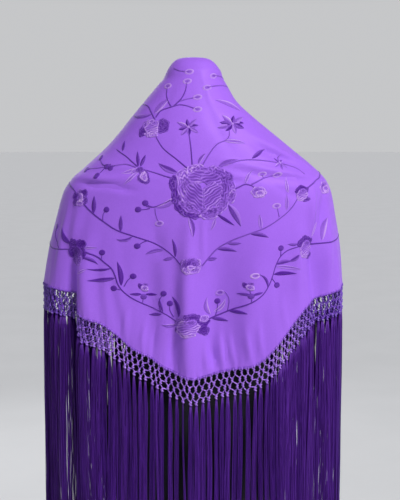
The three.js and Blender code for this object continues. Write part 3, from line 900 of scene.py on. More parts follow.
def net_cords(hem, whole, half):
    """The knots and legs of the net, from its knots on the strands and between them."""
    made = []
    for row, (depth, size) in enumerate(zip(NET_LEVELS, KNOT_SIZES)):
        made += knots(hem, half if row % 2 else whole, depth, size)
    reach = KNOT_HEIGHT * 0.38
    heads = [depth - reach for depth in NET_LEVELS]
    feet = [depth + reach for depth in NET_LEVELS]
    for shift in (-0.22, 0.22):
        start = np.clip(whole + shift, 0, STRANDS_PER_SIDE)
        made += legs(hem, start, HEM_RADIUS, whole, heads[0])
    for shift in (-0.5, 0.5):
        ends = half + shift
        made += legs(hem, ends, feet[0], half, heads[1])
        made += legs(hem, half, feet[1], ends, heads[2])
        made += legs(hem, ends, feet[2], half, heads[3])
    return made


def make_net(side, name, material, rng):
    """One side's knotted net, laid double where it bunches at the shoulder."""
    hem = hem_lines[side]
    first = 1 if side < 0 else 0
    whole = np.arange(first, STRANDS_PER_SIDE + 1).astype(float)
    half = np.arange(STRANDS_PER_SIDE) + 0.5
    made = net_cords(hem, whole, half)
    made += hem_loops(hem, whole - 0.2 * (whole > 0))
    made += hem_loops(hem, np.minimum(whole + 0.2, STRANDS_PER_SIDE))
    at_hem = hem.net_point(half, 0 * half)
    beside = half[(np.abs(at_hem[:, 0]) > BUNCHED_FROM[side]) & (at_hem[:, 1] < BUNCHED_TO)]
    behind = net_cords(hem, beside, beside[:-1] + 0.5)
    for points, _ in behind:
        points += (0, BUNCH_GAP, 0)
    stack = Stack()
    for points, faces in made + behind:
        tone = rng.uniform(0.3, 1, len(points) // 4 + 1).repeat(4)[: len(points)]
        # painted shade: the cords are painted darker with distance from the middle, for the shade where
        # the net turns from the light
        beyond = np.abs(points[:, 0]) - NET_PAINTED_SHADE_FROM
        bright = 1 - NET_PAINTED_SHADE * smooth(beyond / NET_PAINTED_SHADE_REACH)
        stack.add(points, faces, tone * bright)
    return stack.piece(name, material, "tone")


def make_fringe(side, name, material, rng):
    """One side's fringe: locks of fine yarns that hang from the last row of knots."""
    hem = hem_lines[side]
    locks = np.arange(STRANDS_PER_SIDE)
    each_lock = (STRANDS_PER_SIDE, 1, 1)
    each_yarn = (STRANDS_PER_SIDE, YARNS_PER_LOCK, 1)
    foot = hem.net_point(locks + 0.5, NET_LEVELS[-1] + KNOT_HEIGHT * 0.3)
    out = hem.level_normal(locks + 0.5)
    tangent = unit(np.cross(out, -DOWN))
    down = np.linspace(0, 1, YARN_STEPS) ** 1.15
    length = STRAND_LENGTH + STRAND_UNEVENNESS * np.sin(locks * STRAND_PHASE + side)
    ends = rng.normal(0, END_UNEVENNESS, each_yarn) - 4
    depth = (length[:, None, None] + ends) * down
    slot = np.linspace(-0.5, 0.5, YARNS_PER_LOCK)[:, None] + rng.normal(0, 0.02, each_yarn)
    layer = rng.uniform(-0.5, 0.5, each_yarn)
    gathered = KNOT_NARROWING + (1 - KNOT_NARROWING) * smooth(depth / GATHER_LENGTH)
    spread = 1 + rng.normal(0, 0.1, each_lock) + 0.4 * down
    spread *= 1 + 0.45 * smooth((np.abs(foot[:, 0]) - 100) / 60)[:, None, None]
    twist = rng.normal(0, 0.35, each_lock) + rng.normal(0, LOCK_TURN, each_lock) * down
    wave = rng.uniform(0, 2 * math.pi, each_yarn)
    ripple = 0.35 * np.sin(depth / rng.uniform(16, 30, each_yarn) + wave) * smooth(depth / 60)
    wide = slot * LOCK_WIDTH * gathered * spread + ripple
    thick = layer * LOCK_THICKNESS * gathered + 0.3 * ripple
    drift = rng.normal(0, LOCK_DRIFT, each_lock) * down**1.3 + rng.normal(0, 0.7, each_yarn) * down**2
    swing = np.sin(depth / rng.uniform(55, 90, each_lock) + rng.uniform(0, 6, each_lock))
    sideways = wide * np.cos(twist) - thick * np.sin(twist) + drift
    sideways += LOCK_SWING * swing * smooth(depth / 80)
    outwards = wide * np.sin(twist) * 0.6 + thick * np.cos(twist)
    path = (
        foot[:, None, None]
        + tangent[:, None, None] * sideways[..., None]
        + out[:, None, None] * outwards[..., None]
        + DOWN * depth[..., None]
    ).reshape(-1, YARN_STEPS, 3)
    normal = np.repeat(out, YARNS_PER_LOCK, axis=0)[:, None]
    points, faces = tubes(path, normal, np.linspace(*YARN_THICKNESS, YARN_STEPS), 3)
    tone = np.clip(rng.normal(0.4, 0.2, each_yarn) + rng.normal(0, 0.1, each_lock), 0, 1)
    piece = new_mesh(name, points, faces, material)
    point_values(piece, "tone", np.repeat(tone.ravel(), YARN_STEPS * 3))
    return piece


def make_hem(outer, material):
    """The narrow rolled hem along the fringed edge and up both sides of the front opening."""
    left_edge = outer[NECK_EDGE_ROW:, 0]
    right_edge = outer[NECK_EDGE_ROW:, -1]
    line = np.vstack([left_edge[:-1], outer[-1], right_edge[-2::-1]])
    outwards = unit(line * (1, DEPTH_TURN, 0))
    line = line - outwards * CLOTH_SHELL / 2
    points, faces = tubes(line[None], outwards, HEM_RADIUS, HEM_SIDES)
    piece = new_mesh("rolled_hem", points, faces, material)
    point_values(piece, "tone", np.full(len(points), HEM_TONE))
    point_values(piece, "thread", np.repeat(lengths_along(line), HEM_SIDES))
    return piece


# The embroidery, laid out on the cloth: each place is a length from the middle of the back
# (left is negative) and a height. Tones paint sheen and shade on one violet silk: from 0, like the
# cloth, to 1, deep violet, painted shade, and below 0 paler, painted highlight.


class Stitching:
    """Collects raised patches on the cloth, then makes them one piece."""

    def __init__(self):
        self.patches = []

    def add(self, s, z, lift, tone, thread, faces=None):
        shape = np.broadcast(s, z, lift, tone, thread).shape
        columns = [np.broadcast_to(v, shape).ravel() for v in (s, z, lift, tone, thread)]
        faces = grid_faces(*shape) if faces is None else faces
        self.patches.append((np.stack(columns, axis=1), np.asarray(faces)))

    def piece(self, name, material):
        data = np.vstack([columns for columns, _ in self.patches])
        faces = []
        first = 0
        for columns, quads in self.patches:
            faces += (quads + first).tolist()
            first += len(columns)
        points = on_cloth(data[:, 0], data[:, 1], data[:, 2] + CLOTH_SHELL / 2)
        made = new_mesh(name, points, faces, material)
        point_values(made, "tone", data[:, 3])
        point_values(made, "thread", data[:, 4])
        return made


def rise_of(s, z):
    """Height gained for each millimetre up the cloth's slope at a place."""
    low, high = on_cloth(np.array([s, s]), np.array([z - 1.0, z + 1.0]), np.zeros(2))
    return 2 / float(np.linalg.norm(high - low))


def stem(stitching, points, tone, width=STEM_WIDTH):
    """A twisted stem along a smooth line, thinner towards its end."""
    line = spline(points, 2.5)
    ahead = unit(np.gradient(line, axis=0))
    length = lengths_along(line)[:, None]
    narrow = 1 - STEM_TAPER * length / length[-1]
    across, lift = np.array(STEM_SECTION)
    offset = across * (width / 2 * narrow)
    s = line[:, :1] - ahead[:, 1:] * offset
    z = line[:, 1:] + ahead[:, :1] * offset
    stitching.add(s, z, lift * narrow, tone, length + offset * 0.8)


def leaf(stitching, base, tip, width, bend, tone, far_tone=None, hollow=False):
    """A satin-stitched leaf with a vein. A hollow one shows only its raised edge."""
    base = np.array(base, float)
    run = np.array(tip, float) - base
    length = np.hypot(*run)
    t = np.linspace(0, 1, LEAF_GRID[0])[:, None]
    w = np.linspace(-1, 1, LEAF_GRID[1])
    half = width / 2 * np.sin(math.pi * np.clip(t, 0.001, 0.999) ** 0.8) ** 0.85
    shift = bend * 4 * t * (1 - t) + half * w
    s = base[0] + run[0] * t - run[1] / length * shift
    z = base[1] + run[1] * t + run[0] / length * shift
    ends = np.sin(math.pi * t) ** 0.3
    vein = np.exp(-((w / 0.16) ** 2))
    if hollow:
        edge = np.exp(-(((np.abs(w) - 0.66) / 0.24) ** 2))
        lift = 0.75 * edge * ends + 0.05
        # painted highlight on the raised edge, and painted shade along the vein
        tone = tone + 0.2 * vein - 0.7 * edge
    else:
        lift = (LEAF_LIFT - 0.5 * vein) * np.clip(1 - w**2, 0, 1) ** 0.6 * ends
    lift = np.where(np.abs(w) == 1, EDGE_SINK, lift)
    # painted sheen and shade: the far half takes its own tone, as its stitches catch the light
    # differently
    if far_tone is not None:
        tone = np.where(w > 0, far_tone, tone)
    stitching.add(s, z, lift, np.clip(tone, -1, 1), t * length * 0.7 + np.abs(w) * half)


def bud(stitching, place, length, width, turn, tone, hollow=False):
    """A padded oval bud. A hollow one shows only its raised edge."""
    cosine, sine = cosine_and_sine(turn)
    r = np.linspace(0, 1, BUD_GRID[0])[:, None]
    phi = np.linspace(0, 2 * math.pi, BUD_GRID[1])
    x = r * length / 2 * np.cos(phi)
    y = r * width / 2 * np.sin(phi)
    lift = BUD_LIFT * np.sqrt(np.clip(1 - r**2, 0, 1))
    if hollow:
        lift = 0.7 * np.exp(-(((r - 0.75) / 0.2) ** 2)) + 0.05
        # painted highlight: the raised rim is paler
        tone = tone - 0.6 * (r > 0.5)
    lift = np.where(r == 1, EDGE_SINK, lift)
    s = place[0] + x * cosine - y * sine
    z = place[1] + x * sine + y * cosine
    stitching.add(s, z, lift, np.clip(tone, -1, 1), y)


def budded_stem(stitching, points, tone=0.9, hollow=False):
    """A short stem with a bud on its end."""
    stem(stitching, points, 0.45 if hollow else tone * 0.95, STEM_WIDTH * 0.7)
    bud(stitching, points[-1], *(HOLLOW_BUD if hollow else FULL_BUD), BUD_TURN, tone, hollow)


def star(stitching, place, radius, petals, first_turn, tone, far_tone, height=1.0):
    """A star flower: pointed petals round a small knot, `height` times as high as wide."""
    for k in range(petals):
        cosine, sine = cosine_and_sine(first_turn + 360 * k / petals + 7 * math.sin(5 * k))
        way = np.array([cosine, height * sine])
        near, tip = place + 1.6 * way, place + radius * (1 - 0.14 * math.cos(3 * k)) * way
        # painted sheen and shade: petals take the two tones in turn, and each far half is painted
        # darker
        shade = tone if k % 2 else far_tone
        leaf(stitching, near, tip, radius * 0.36, 0, shade, min(1.0, shade + 0.5), k % 3 == 0)
    bud(stitching, place, 5, 4.4, 0, -0.3)


def ridge_lines(petal, u, v, du, dv, phi, depth):
    """Where a petal's ridges run, as lengths across them, and the lie of its threads.

    They follow the petal's own edge, or lie straight at its grain's angle."""
    _, up, a, b, _, scallops, level, _, *grain = petal
    if not grain:
        lines = depth + 0.8 * np.sin((scallops + 2) * phi + up)
        return lines + 0.5 * np.sin(u / 2.3 + v / 3.7 + level * 9), phi * min(a, b) * 0.8
    cosine, sine = cosine_and_sine(grain[0])
    lines = -du * sine + dv * cosine
    lengthwise = du * cosine + dv * sine
    lines = lines + 0.8 * np.sin(lengthwise / 2.9 + lines / 3.1) + 0.5 * np.sin(lengthwise / 7 + up)
    return lines, lengthwise


def bloom(stitching, place, petals, pitch, scale=1.0):
    """A flower of overlapping ridged petals. Later ones lie over earlier ones.

    A petal is (across, up, half length, half width, turn, scallops, level, tone), and the angle of
    its ridges in degrees if they are straight."""
    reach = max(math.hypot(p[0], p[1]) + max(p[2], p[3]) for p in petals) * scale * 1.12
    count = int(2 * reach / FLOWER_CELL) + 1
    axis = np.linspace(-reach, reach, count)
    v, u = np.meshgrid(axis, axis, indexing="ij")
    lift = np.full(u.shape, -0.45)
    tone = np.zeros(u.shape)
    thread = np.zeros(u.shape)
    inside = np.zeros(u.shape, bool)
    for across, up, a, b, turn, scallops, level, petal_tone, *grain in petals:
        a, b = a * scale, b * scale
        cosine, sine = cosine_and_sine(turn)
        du, dv = u - across * scale, v - up * scale
        x, y = du * cosine + dv * sine, -du * sine + dv * cosine
        phi = np.arctan2(y / b, x / a)
        edge = 1 + SCALLOP_DEPTH * np.cos(scallops * phi + across)
        edge = edge + SCALLOP_DEPTH / 3 * np.sin((2 * scallops + 1) * phi)
        depth = (1 - np.hypot(x / a, y / b) / edge) * min(a, b)
        if grain and abs(grain[0]) > STRAIGHT_GRAIN:
            depth = np.minimum(depth, math.copysign(1, grain[0]) * u)
        petal = (across, up, a, b, turn, scallops, level, petal_tone, *grain)
        lines, thread_here = ridge_lines(petal, u, v, du, dv, phi, depth)
        ridge = 0.5 + 0.5 * np.cos(2 * math.pi * lines / pitch)
        ridge = ridge**0.8 * (0.8 + 0.2 * np.sin(u / 5.1 - v / 4.3))
        border = smooth(depth / 0.9)
        lip = np.exp(-(((depth - 1.0) / 0.9) ** 2))
        here = level + RIDGE_LIFT * ridge + LIP_LIFT * lip
        # painted shade: darker in the grooves and along each petal's edge; painted highlight: paler on
        # the ridge tops and the lip
        groove = np.clip(1 - ridge * 1.5, 0, 1) * GROOVE_PAINTED_SHADE + 0.25 * np.exp(-((depth / 0.7) ** 2))
        painted_highlight = np.maximum(np.clip(ridge * 2 - 1, 0, 1), lip) * RIDGE_PAINTED_HIGHLIGHT
        over = depth > 0
        lift = np.where(over, np.maximum(lift, 0) * (1 - border) + here * border, lift)
        tone = np.where(over, petal_tone + groove - painted_highlight * max(1 - petal_tone, 0.45), tone)
        thread = np.where(over, thread_here, thread)
        inside |= over
    kept = grid_faces(count, count)
    kept = kept[inside.ravel()[kept].any(axis=1)]
    used, faces = np.unique(kept, return_inverse=True)
    s = place[0] + u
    z = place[1] + v * rise_of(*place)
    columns = [values.ravel()[used] for values in (s, z, lift, np.clip(tone, -1, 1), thread)]
    stitching.add(*columns, faces.reshape(kept.shape))


# Petals of each kind of flower, from the ones at the back to the ones in front
GREAT_ROSE = [
    (-49, 10, 9, 17, 8, 4, 0.1, 0.85), (-47, -8, 8, 16, -4, 4, 0.1, 0.8),
    (-40, 2, 9, 25, 4, 6, 0.3, 0.7), (46, 12, 9, 15, 12, 4, 0.1, 0.3),
    (48, -8, 9, 14, -8, 4, 0.1, 0.15), (40, 24, 12, 10, -40, 4, 0.1, 0.5),
    (22, 33, 17, 10, -14, 5, 0.1, 0.25), (30, 24, 15, 10, -36, 4, 0.3, 0.5),
    (-34, 27, 13, 11, 40, 4, 0.1, 0.1), (-12, 37, 18, 9, 6, 5, 0.1, 0.1),
    (4, 33, 14, 8, 0, 4, 0.2, 0.35), (-36, -28, 17, 11, -50, 4, 0.2, 0.75),
    (-20, -38, 18, 9, -14, 5, 0.2, 0.7), (-24, -27, 20, 9, -30, 5, 0.4, 0.3),
    (32, -23, 12, 11, 40, 4, 0.2, 0.15), (23, -34, 13, 8, 20, 4, 0.3, 0.25),
    (10, -42, 17, 7, 4, 5, 0.3, 0.12), (10, -35, 18, 8, 4, 5, 0.5, 0.4),
    (-29, 6, 15, 28, 10, 7, 0.5, 0.12), (31, 4, 14, 26, -8, 7, 0.5, 0.45),
    (-8, 24, 20, 12, 12, 5, 0.6, 0.2, -8), (14, 20, 19, 12, -16, 5, 0.65, 0.35, 12),
    (-11, -9, 18, 25, 30, 6, 0.7, 0.3, -42), (13, -8, 18, 25, -30, 6, 0.75, 0.25, 36),
]
SMALL_ROSE = [
    (-9, 1, 7, 9, 0, 4, 0.1, 0.25), (9, 2, 7, 9, 0, 4, 0.1, 0.15),
    (-4, -8, 10, 6, -10, 5, 0.2, 0.0), (5, -7, 10, 6, 10, 5, 0.2, 0.05),
    (0, 7, 9, 5, 0, 5, 0.2, 0.4), (-3, 2, 7, 6, 20, 4, 0.4, 0.6), (4, 1, 6, 6, -20, 4, 0.5, 0.5),
    (0, -3, 7, 3.4, 0, 3, 0.7, 0.0),
]
FULL_ROSE = [
    (14, 3, 13, 10, 20, 5, 0.1, 0.85, 14), (16, -9, 11, 8, -24, 4, 0.2, 0.8),
    (-2, 12, 13, 6, 0, 6, 0.1, 0.8), (-21, -9, 7, 7, 20, 3, 0.1, 0.75),
    (-18, 3, 8, 9, -20, 4, 0.1, 0.3), (-10, -12, 15, 8, -6, 5, 0.3, -0.05),
    (-7, -4, 17, 12, 0, 6, 0.5, 0.05, 8), (17, 9, 8, 6, 0, 4, 0.4, 0.1),
    (-3, 4, 9, 5, 0, 3, 0.7, 0.3),
]
DEEP_ROSE = [
    (-6, 8, 8, 8, 0, 3, 0.1, 0.95), (5, 9, 8, 7, 0, 3, 0.1, 0.95), (-9, -1, 6, 8, 0, 3, 0.2, 0.9),
    (8, -1, 6, 8, 0, 3, 0.2, 0.95), (-4, -10, 7, 7, 0, 3, 0.3, 0.6),
    (4, -9, 6, 7, 0, 3, 0.4, 0.25), (0, 0, 8, 7, 0, 4, 0.6, 0.75),
]
HALF_ROSE = [
    (-9, 5, 6, 6, 30, 3, 0.1, 0.85), (-1, 10, 9, 5, 0, 4, 0.1, 0.9),
    (9, 6, 5, 6, -30, 3, 0.1, 0.75), (8, -11, 8, 4.5, 16, 3, 0.1, 0.62),
    (-5, -9, 8, 5, -20, 4, 0.2, 0.0), (0, -2, 12, 9, 0, 6, 0.4, 0.05, 12),
    (1, 5, 7, 4, 0, 3, 0.6, 0.35),
]
CARNATION = [
    (-18, -6, 7, 11, -20, 4, 0.2, 0.75), (-13, 5, 7, 7, 20, 4, 0.2, 0.3),
    (15, 3, 11, 13, -14, 5, 0.2, 0.62), (15, 5, 6, 8, -14, 4, 0.4, 0.75),
    (-4, 9, 9, 6, 0, 4, 0.3, 0.1), (-3, -11, 12, 6, 0, 5, 0.3, 0.05),
    (-3, -2, 12, 10, 0, 5, 0.6, 0.0, 8), (3, 7, 7, 5, 0, 3, 0.7, 0.1),
]
FIVE_PETALS = [
    (-9, 1, 5, 7, 12, 3, 0.1, 0.8), (-7, -7, 6, 5, 30, 3, 0.1, 0.7),
    (0, 8, 6, 4.4, 0, 3, 0.1, 0.25), (8, 6, 6, 6, -30, 3, 0.2, 0.85),
    (10, -3, 5, 6, 10, 3, 0.1, 0.6), (2, -8, 7, 4.4, 0, 3, 0.2, 0.1),
    (0, 0, 8, 7, -30, 5, 0.5, -0.1, 30), (1, 1, 3.6, 3, 0, 3, 0.8, 0.4),
]
TINY_BLOOM = [
    (-5, 3, 4, 5, 30, 3, 0.1, 0.85), (3, 5, 5, 3, 0, 3, 0.1, 0.5),
    (2, -1, 7, 5, -20, 4, 0.3, 0.0), (2, 0, 3, 2.2, 0, 3, 0.5, 0.35),
]
IRIS = [
    (9, -6, 8.5, 12, 14, 3, 0.1, 0.7), (9, -5, 5.2, 8.5, 14, 3, 0.2, -0.1),
    (-6, 2, 6, 4, 20, 3, 0.2, 0.1), (3, 5, 6, 5, 0, 3, 0.5, 0.6),
]
PALE_ROSE = [
    (0, 0, 13, 9, 0, 6, 0.1, 0.0), (-4, 3, 6, 4, 10, 3, 0.2, 0.3), (2, -2, 8, 5, 0, 4, 0.4, -0.1),
    (1, -1, 4.4, 2.4, 0, 3, 0.6, 0.3),
]

# Long stems, each drawn with its tone
STEMS = [
    (0.8, [(-8, 1300), (-26, 1315), (-45, 1330), (-55, 1344), (-59, 1352)]),
    (0.75, [(-1, 1306), (-3, 1330), (-5, 1345), (-7, 1358)]),
    (0.4, [(14, 1304), (22, 1318), (36, 1336), (51, 1343), (56, 1350), (56, 1360)]),
    (0.85, [(-60, 1374), (-68, 1386), (-78, 1396), (-100, 1400)]),
    (0.8, [(-59, 1378), (-51, 1388), (-33, 1394), (-20, 1397), (-8, 1395), (2, 1391)]),
    (0.75, [(-34, 1394), (-41, 1406), (-43, 1416), (-42, 1424)]),
    (0.75, [(-30, 1395), (-18, 1407), (-12, 1419), (-10, 1430)]),
    (0.35, [(-20, 1403), (-9, 1406), (3, 1408)]),
    (0.3, [(-32, 1455), (-22, 1451), (-12, 1449)]),
    (0.3, [(24, 1425), (46, 1428), (74, 1427)]),
    (0.3, [(34, 1444), (55, 1443), (72, 1440)]),
    (0.7, [(-28, 1285), (-40, 1288), (-56, 1293), (-74, 1298)]),
    (0.8, [(-85, 1303), (-95, 1310), (-106, 1318), (-127, 1328)]),
    (0.4, [(-88, 1302), (-104, 1306), (-121, 1304), (-134, 1303), (-152, 1300), (-176, 1298)]),
    (0.75, [(-34, 1253), (-46, 1247), (-60, 1242), (-72, 1243)]),
    (0.35, [(38, 1301), (67, 1311), (93, 1313), (123, 1310), (150, 1305), (170, 1299),
           (180, 1290)]),
    (0.7, [(63, 1269), (70, 1272), (80, 1276), (90, 1274), (98, 1268)]),
    (0.4, [(90, 1276), (108, 1284), (122, 1288)]),
    (0.9, [(-232, 1275), (-206, 1268), (-193, 1261), (-184, 1254)]),
    (0.9, [(-176, 1246), (-162, 1233), (-140, 1219), (-118, 1206), (-91, 1197), (-65, 1188),
           (-43, 1177), (-28, 1165), (-17, 1153)]),
    (0.55, [(14, 1153), (24, 1165), (38, 1179), (60, 1191), (86, 1201), (108, 1209), (130, 1221),
           (150, 1235), (165, 1252)]),
    (0.6, [(182, 1268), (210, 1282), (250, 1292), (290, 1290), (330, 1276)]),
    (0.9, [(-300, 1186), (-270, 1176), (-245, 1171), (-218, 1172), (-196, 1174)]),
    (0.9, [(-168, 1172), (-150, 1165), (-136, 1155), (-126, 1146), (-121, 1135), (-118, 1124),
           (-112, 1113), (-101, 1103), (-83, 1093), (-63, 1085), (-45, 1078), (-26, 1066)]),
    (0.85, [(24, 1069), (42, 1076), (62, 1085), (85, 1095), (105, 1107), (115, 1120), (122, 1135),
           (127, 1150), (134, 1163), (146, 1173), (165, 1180)]),
    (0.85, [(190, 1181), (215, 1182), (245, 1185), (275, 1190), (300, 1196)]),
    (0.85, [(-218, 1174), (-236, 1186), (-242, 1196), (-241, 1203)]),
    (0.6, [(86, 1106), (84, 1116)]),
]

# Leaves: base, tip, width, bend and tone, then for some the tone of the far half or None and
# whether only the edge is raised. The two tones are the painted sheen and shade of the two halves.
LEAVES = [
    ((-24, 1294), (-53, 1308), 10, 2, 0.85, 0.3), ((-6, 1227), (0, 1197), 9, 2, 0.2, 0.6, True),
    ((54, 1246), (74, 1212), 13, 2, 0.8, -0.1), ((37, 1231), (64, 1214), 5, 0, 0.95),
    ((34, 1225), (27, 1207), 6, 1, 0.15, None, True),
    ((8, 1307), (19, 1323), 6, 1, 0.2, 0.6, True),
    ((38, 1302), (70, 1313), 9, 2, 0.15, 0.45, True), ((-66, 1383), (-114, 1382), 7, 3, 0.2, 0.6),
    ((-62, 1384), (-38, 1407), 11, 1, 0.12, 0.3, True),
    ((84, 1389), (34, 1405), 9, -2, 0.0, 0.2, True),
    ((48, 1342), (82, 1338), 7, 1, 0.1, None, True), ((-84, 1303), (-87, 1326), 6, 0, 0.75, 0.95),
    ((-81, 1303), (-73, 1321), 6, 0, 0.75, 0.95),
    ((-84, 1300), (-112, 1292), 7, 1, 0.12, None, True),
    ((-82, 1298), (-108, 1275), 6, 1, 0.1, None, True),
    ((-26, 1257), (-57, 1241), 10, 3, -0.1, 0.3, True),
    ((91, 1315), (117, 1329), 7, 1, 0.85, 0.5), ((80, 1276), (93, 1298), 6, 2, 0.15, None, True),
    ((-158, 1230), (-156, 1258), 8, 0, 0.88), ((-112, 1204), (-111, 1229), 7, 0, 0.8),
    ((-93, 1197), (-119, 1192), 5, 4, 0.8, 0.2), ((-46, 1176), (-76, 1169), 6, -2, 0.6, 0.2),
    ((-30, 1165), (-47, 1161), 6, 0, 0.5), ((-27, 1166), (-32, 1194), 6, -2, 0.85),
    ((22, 1162), (38, 1164), 6, 0, 0.4, 0.7), ((38, 1178), (68, 1174), 7, 2, 0.85, 0.5),
    ((52, 1188), (75, 1187), 6, -1, 0.5), ((88, 1201), (115, 1195), 7, 2, 0.85, 0.5),
    ((146, 1236), (147, 1261), 7, 0, 0.3, None, True),
    ((104, 1208), (102, 1231), 7, 0, 0.25, None, True), ((-196, 1182), (-215, 1206), 9, 5, 0.92),
    ((-169, 1178), (-148, 1178), 4, 0, 0.15, None, True),
    ((-171, 1163), (-147, 1152), 6, 3, 0.9, 0.6), ((-127, 1147), (-162, 1145), 4, 2, 0.9),
    ((-162, 1145), (-180, 1136), 5, 0, 0.15, None, True),
    ((-121, 1132), (-162, 1127), 7, 1, 0.92, 0.75), ((-113, 1120), (-118, 1158), 8, -2, 0.95),
    ((-83, 1107), (-101, 1107), 4.5, 0, 0.95), ((-77, 1107), (-57, 1107), 4.5, 0, 0.95),
    ((-47, 1080), (-54, 1102), 4, 0, 0.8), ((-21, 1074), (-33, 1105), 8, -4, 0.9),
    ((-49, 1077), (-72, 1075), 5, 0, 0.8), ((-24, 1062), (-49, 1060), 6, 2, 0.2, 0.5, True),
    ((163, 1184), (148, 1184), 5, 1, 0.3, 0.7), ((164, 1167), (149, 1157), 6, 2, 0.85, 0.4),
    ((128, 1154), (155, 1158), 7, 1, 0.8, 0.4), ((128, 1150), (168, 1144), 6, 1, 0.2, None, True),
    ((124, 1138), (160, 1138), 7, 1, 0.95), ((86, 1108), (67, 1110), 4.5, 0, 0.8),
    ((88, 1108), (106, 1111), 4.5, 0, 0.8), ((57, 1082), (82, 1078), 6, 1, 0.9),
    ((30, 1070), (56, 1066), 6, 1, 0.85), ((214, 1186), (226, 1222), 9, 2, 0.0, 0.3, True),
    ((194, 1193), (204, 1216), 7, 0, 0.0, None, True),
    ((28, 1076), (22, 1104), 9, 5, 0.0, 0.3, True),
    ((33, 1080), (52, 1102), 7, -4, 0.0, None, True),
    ((150, 1262), (148, 1288), 6, 2, 0.0, None, True), ((-114, 1326), (-114, 1342), 6, 0, 0.85),
    ((114, 1117), (98, 1139), 5, -5, 0.7, 0.85),
]

# Buds on short stems: the stem's points and the tone, then for some whether only the edge is raised
BUDS = [
    ([(-42, 1416), (-42, 1427)], 0.2, True), ([(-11, 1425), (-9, 1434)], 0.2, True),
    ([(-4, 1394), (7, 1390)], 0.2, True), ([(-4, 1407), (7, 1409)], 0.2, True),
    ([(-18, 1450), (-6, 1449)], 0.2, True), ([(34, 1427), (22, 1424)], 0.2, True),
    ([(46, 1444), (34, 1443)], 0.2, True), ([(-140, 1303), (-150, 1306), (-161, 1315)], 0.8),
    ([(-140, 1303), (-146, 1296), (-154, 1288)], 0.85), ([(-131, 1306), (-139, 1302)], 0.8),
    ([(-122, 1304), (-131, 1300)], 0.8), ([(-176, 1298), (-188, 1296)], 0.8),
    ([(-62, 1242), (-68, 1244), (-73, 1248)], 0.85),
    ([(-66, 1240), (-75, 1238), (-84, 1238)], 0.85),
    ([(-58, 1240), (-57, 1230), (-52, 1217)], 0.3, True), ([(110, 1285), (108, 1291)], 0.2, True),
    ([(122, 1288), (132, 1290)], 0.2, True), ([(-141, 1220), (-140, 1230), (-135, 1237)], 0.88),
    ([(-70, 1191), (-78, 1188), (-87, 1182)], 0.9),
    ([(133, 1226), (131, 1235), (129, 1243)], 0.2, True), ([(-241, 1198), (-240, 1206)], 0.7),
    ([(-142, 1160), (-141, 1171)], 0.9), ([(-109, 1119), (-103, 1129), (-95, 1135)], 0.92),
    ([(-115, 1114), (-124, 1116)], 0.92), ([(-51, 1082), (-54, 1096), (-46, 1109)], 0.88),
    ([(-30, 1073), (-36, 1083), (-36, 1094)], 0.9), ([(136, 1166), (136, 1178)], 0.85),
    ([(121, 1132), (125, 1127), (130, 1121)], 0.9),
    ([(55, 1083), (57, 1100), (50, 1112), (43, 1110)], 0.4, True),
    ([(36, 1074), (39, 1086), (39, 1097)], 0.9), ([(100, 1139), (92, 1137)], 0.0, True),
    ([(-82, 1093), (-80, 1103)], 0.7), ([(87, 1096), (86, 1106)], 0.7),
]

# Star flowers: place, radius, petals, first turn, two tones, height as a share of the width
STARS = [
    ((-7, 1363), 18, 8, 12, -0.1, 0.55, 0.78), ((62, 1368), 24, 9, 4, -0.15, 0.5, 0.62),
    ((140, 1308), 12, 6, 20, -0.1, 0.2),
]

# Other flowers: place, petals, the ridges' pitch, scale
FLOWERS = [
    ((15.5, 1266.5), GREAT_ROSE, 4.2, 0.89), ((-62, 1362), CARNATION, 3.2),
    ((-184, 1254), FIVE_PETALS, 3.0, 1.12), ((-84, 1293), IRIS, 3.0, 1.05),
    ((-3, 1154), SMALL_ROSE, 3.0), ((174, 1261), HALF_ROSE, 2.8, 0.86),
    ((-80, 1117), TINY_BLOOM, 2.4, 0.95), ((83, 1120), TINY_BLOOM, 2.4, 0.95),
    ((101, 1264), PALE_ROSE, 3.0), ((-182, 1170), DEEP_ROSE, 2.8, 1.3), ((0, 1062), FULL_ROSE, 3.2),
    ((180, 1178), HALF_ROSE, 3.0, 1.22), ((228, 1268), PALE_ROSE, 3.0, 1.2),
]

# The garlands that run on round the sides and down both fronts, mirrored left and right
FRONT_STEMS = [
    [(330, 1190), (372, 1182), (410, 1160), (444, 1128), (474, 1088), (500, 1040), (520, 990),
     (534, 940)],
    [(328, 1272), (350, 1254), (378, 1240), (408, 1232), (436, 1232)],
]
FRONT_LEAVES = [
    ((352, 1187), (366, 1206)), ((384, 1176), (380, 1154)), ((404, 1164), (424, 1176)),
    ((430, 1142), (424, 1118)), ((454, 1114), (476, 1118)), ((472, 1090), (464, 1066)),
    ((492, 1056), (512, 1066)), ((504, 1030), (496, 1010)), ((513, 1008), (530, 1020)),
    ((524, 976), (516, 956)), ((352, 1253), (350, 1232)), ((374, 1242), (388, 1226)),
    ((392, 1236), (386, 1254)), ((408, 1232), (424, 1222)),
]
FRONT_FLOWERS = [
    ((326, 1274), HALF_ROSE), ((316, 1194), DEEP_ROSE), ((450, 1120), FULL_ROSE),
    ((446, 1233), SMALL_ROSE), ((512, 1014), HALF_ROSE),
]
FRONT_BUDS = [
    ((392, 1172), (398, 1188)), ((460, 1104), (446, 1092)), ((506, 1024), (490, 1030)),
    ((416, 1232), (410, 1248)), ((534, 940), (536, 926)),
]


def embroider(material):
    work = Stitching()
    for tone, points in STEMS:
        stem(work, points, tone)
    for row in LEAVES:
        leaf(work, *row)
    for row in BUDS:
        budded_stem(work, *row)
    for row in STARS:
        star(work, *row)
    for row in FLOWERS:
        bloom(work, *row)
    for side in (-1, 1):
        for points in FRONT_STEMS:
            stem(work, [(side * s, z) for s, z in points], 0.8)
        for base, tip in FRONT_LEAVES:
            leaf(work, (side * base[0], base[1]), (side * tip[0], tip[1]), 7, 1, 0.85, 0.5)
        for (s, z), petals in FRONT_FLOWERS:
            bloom(work, (side * s, z), petals, 3.0)
        for points in FRONT_BUDS:
            budded_stem(work, [(side * s, z) for s, z in points])
    return work.piece("silk_flowers", material)


# The dress form and its stand


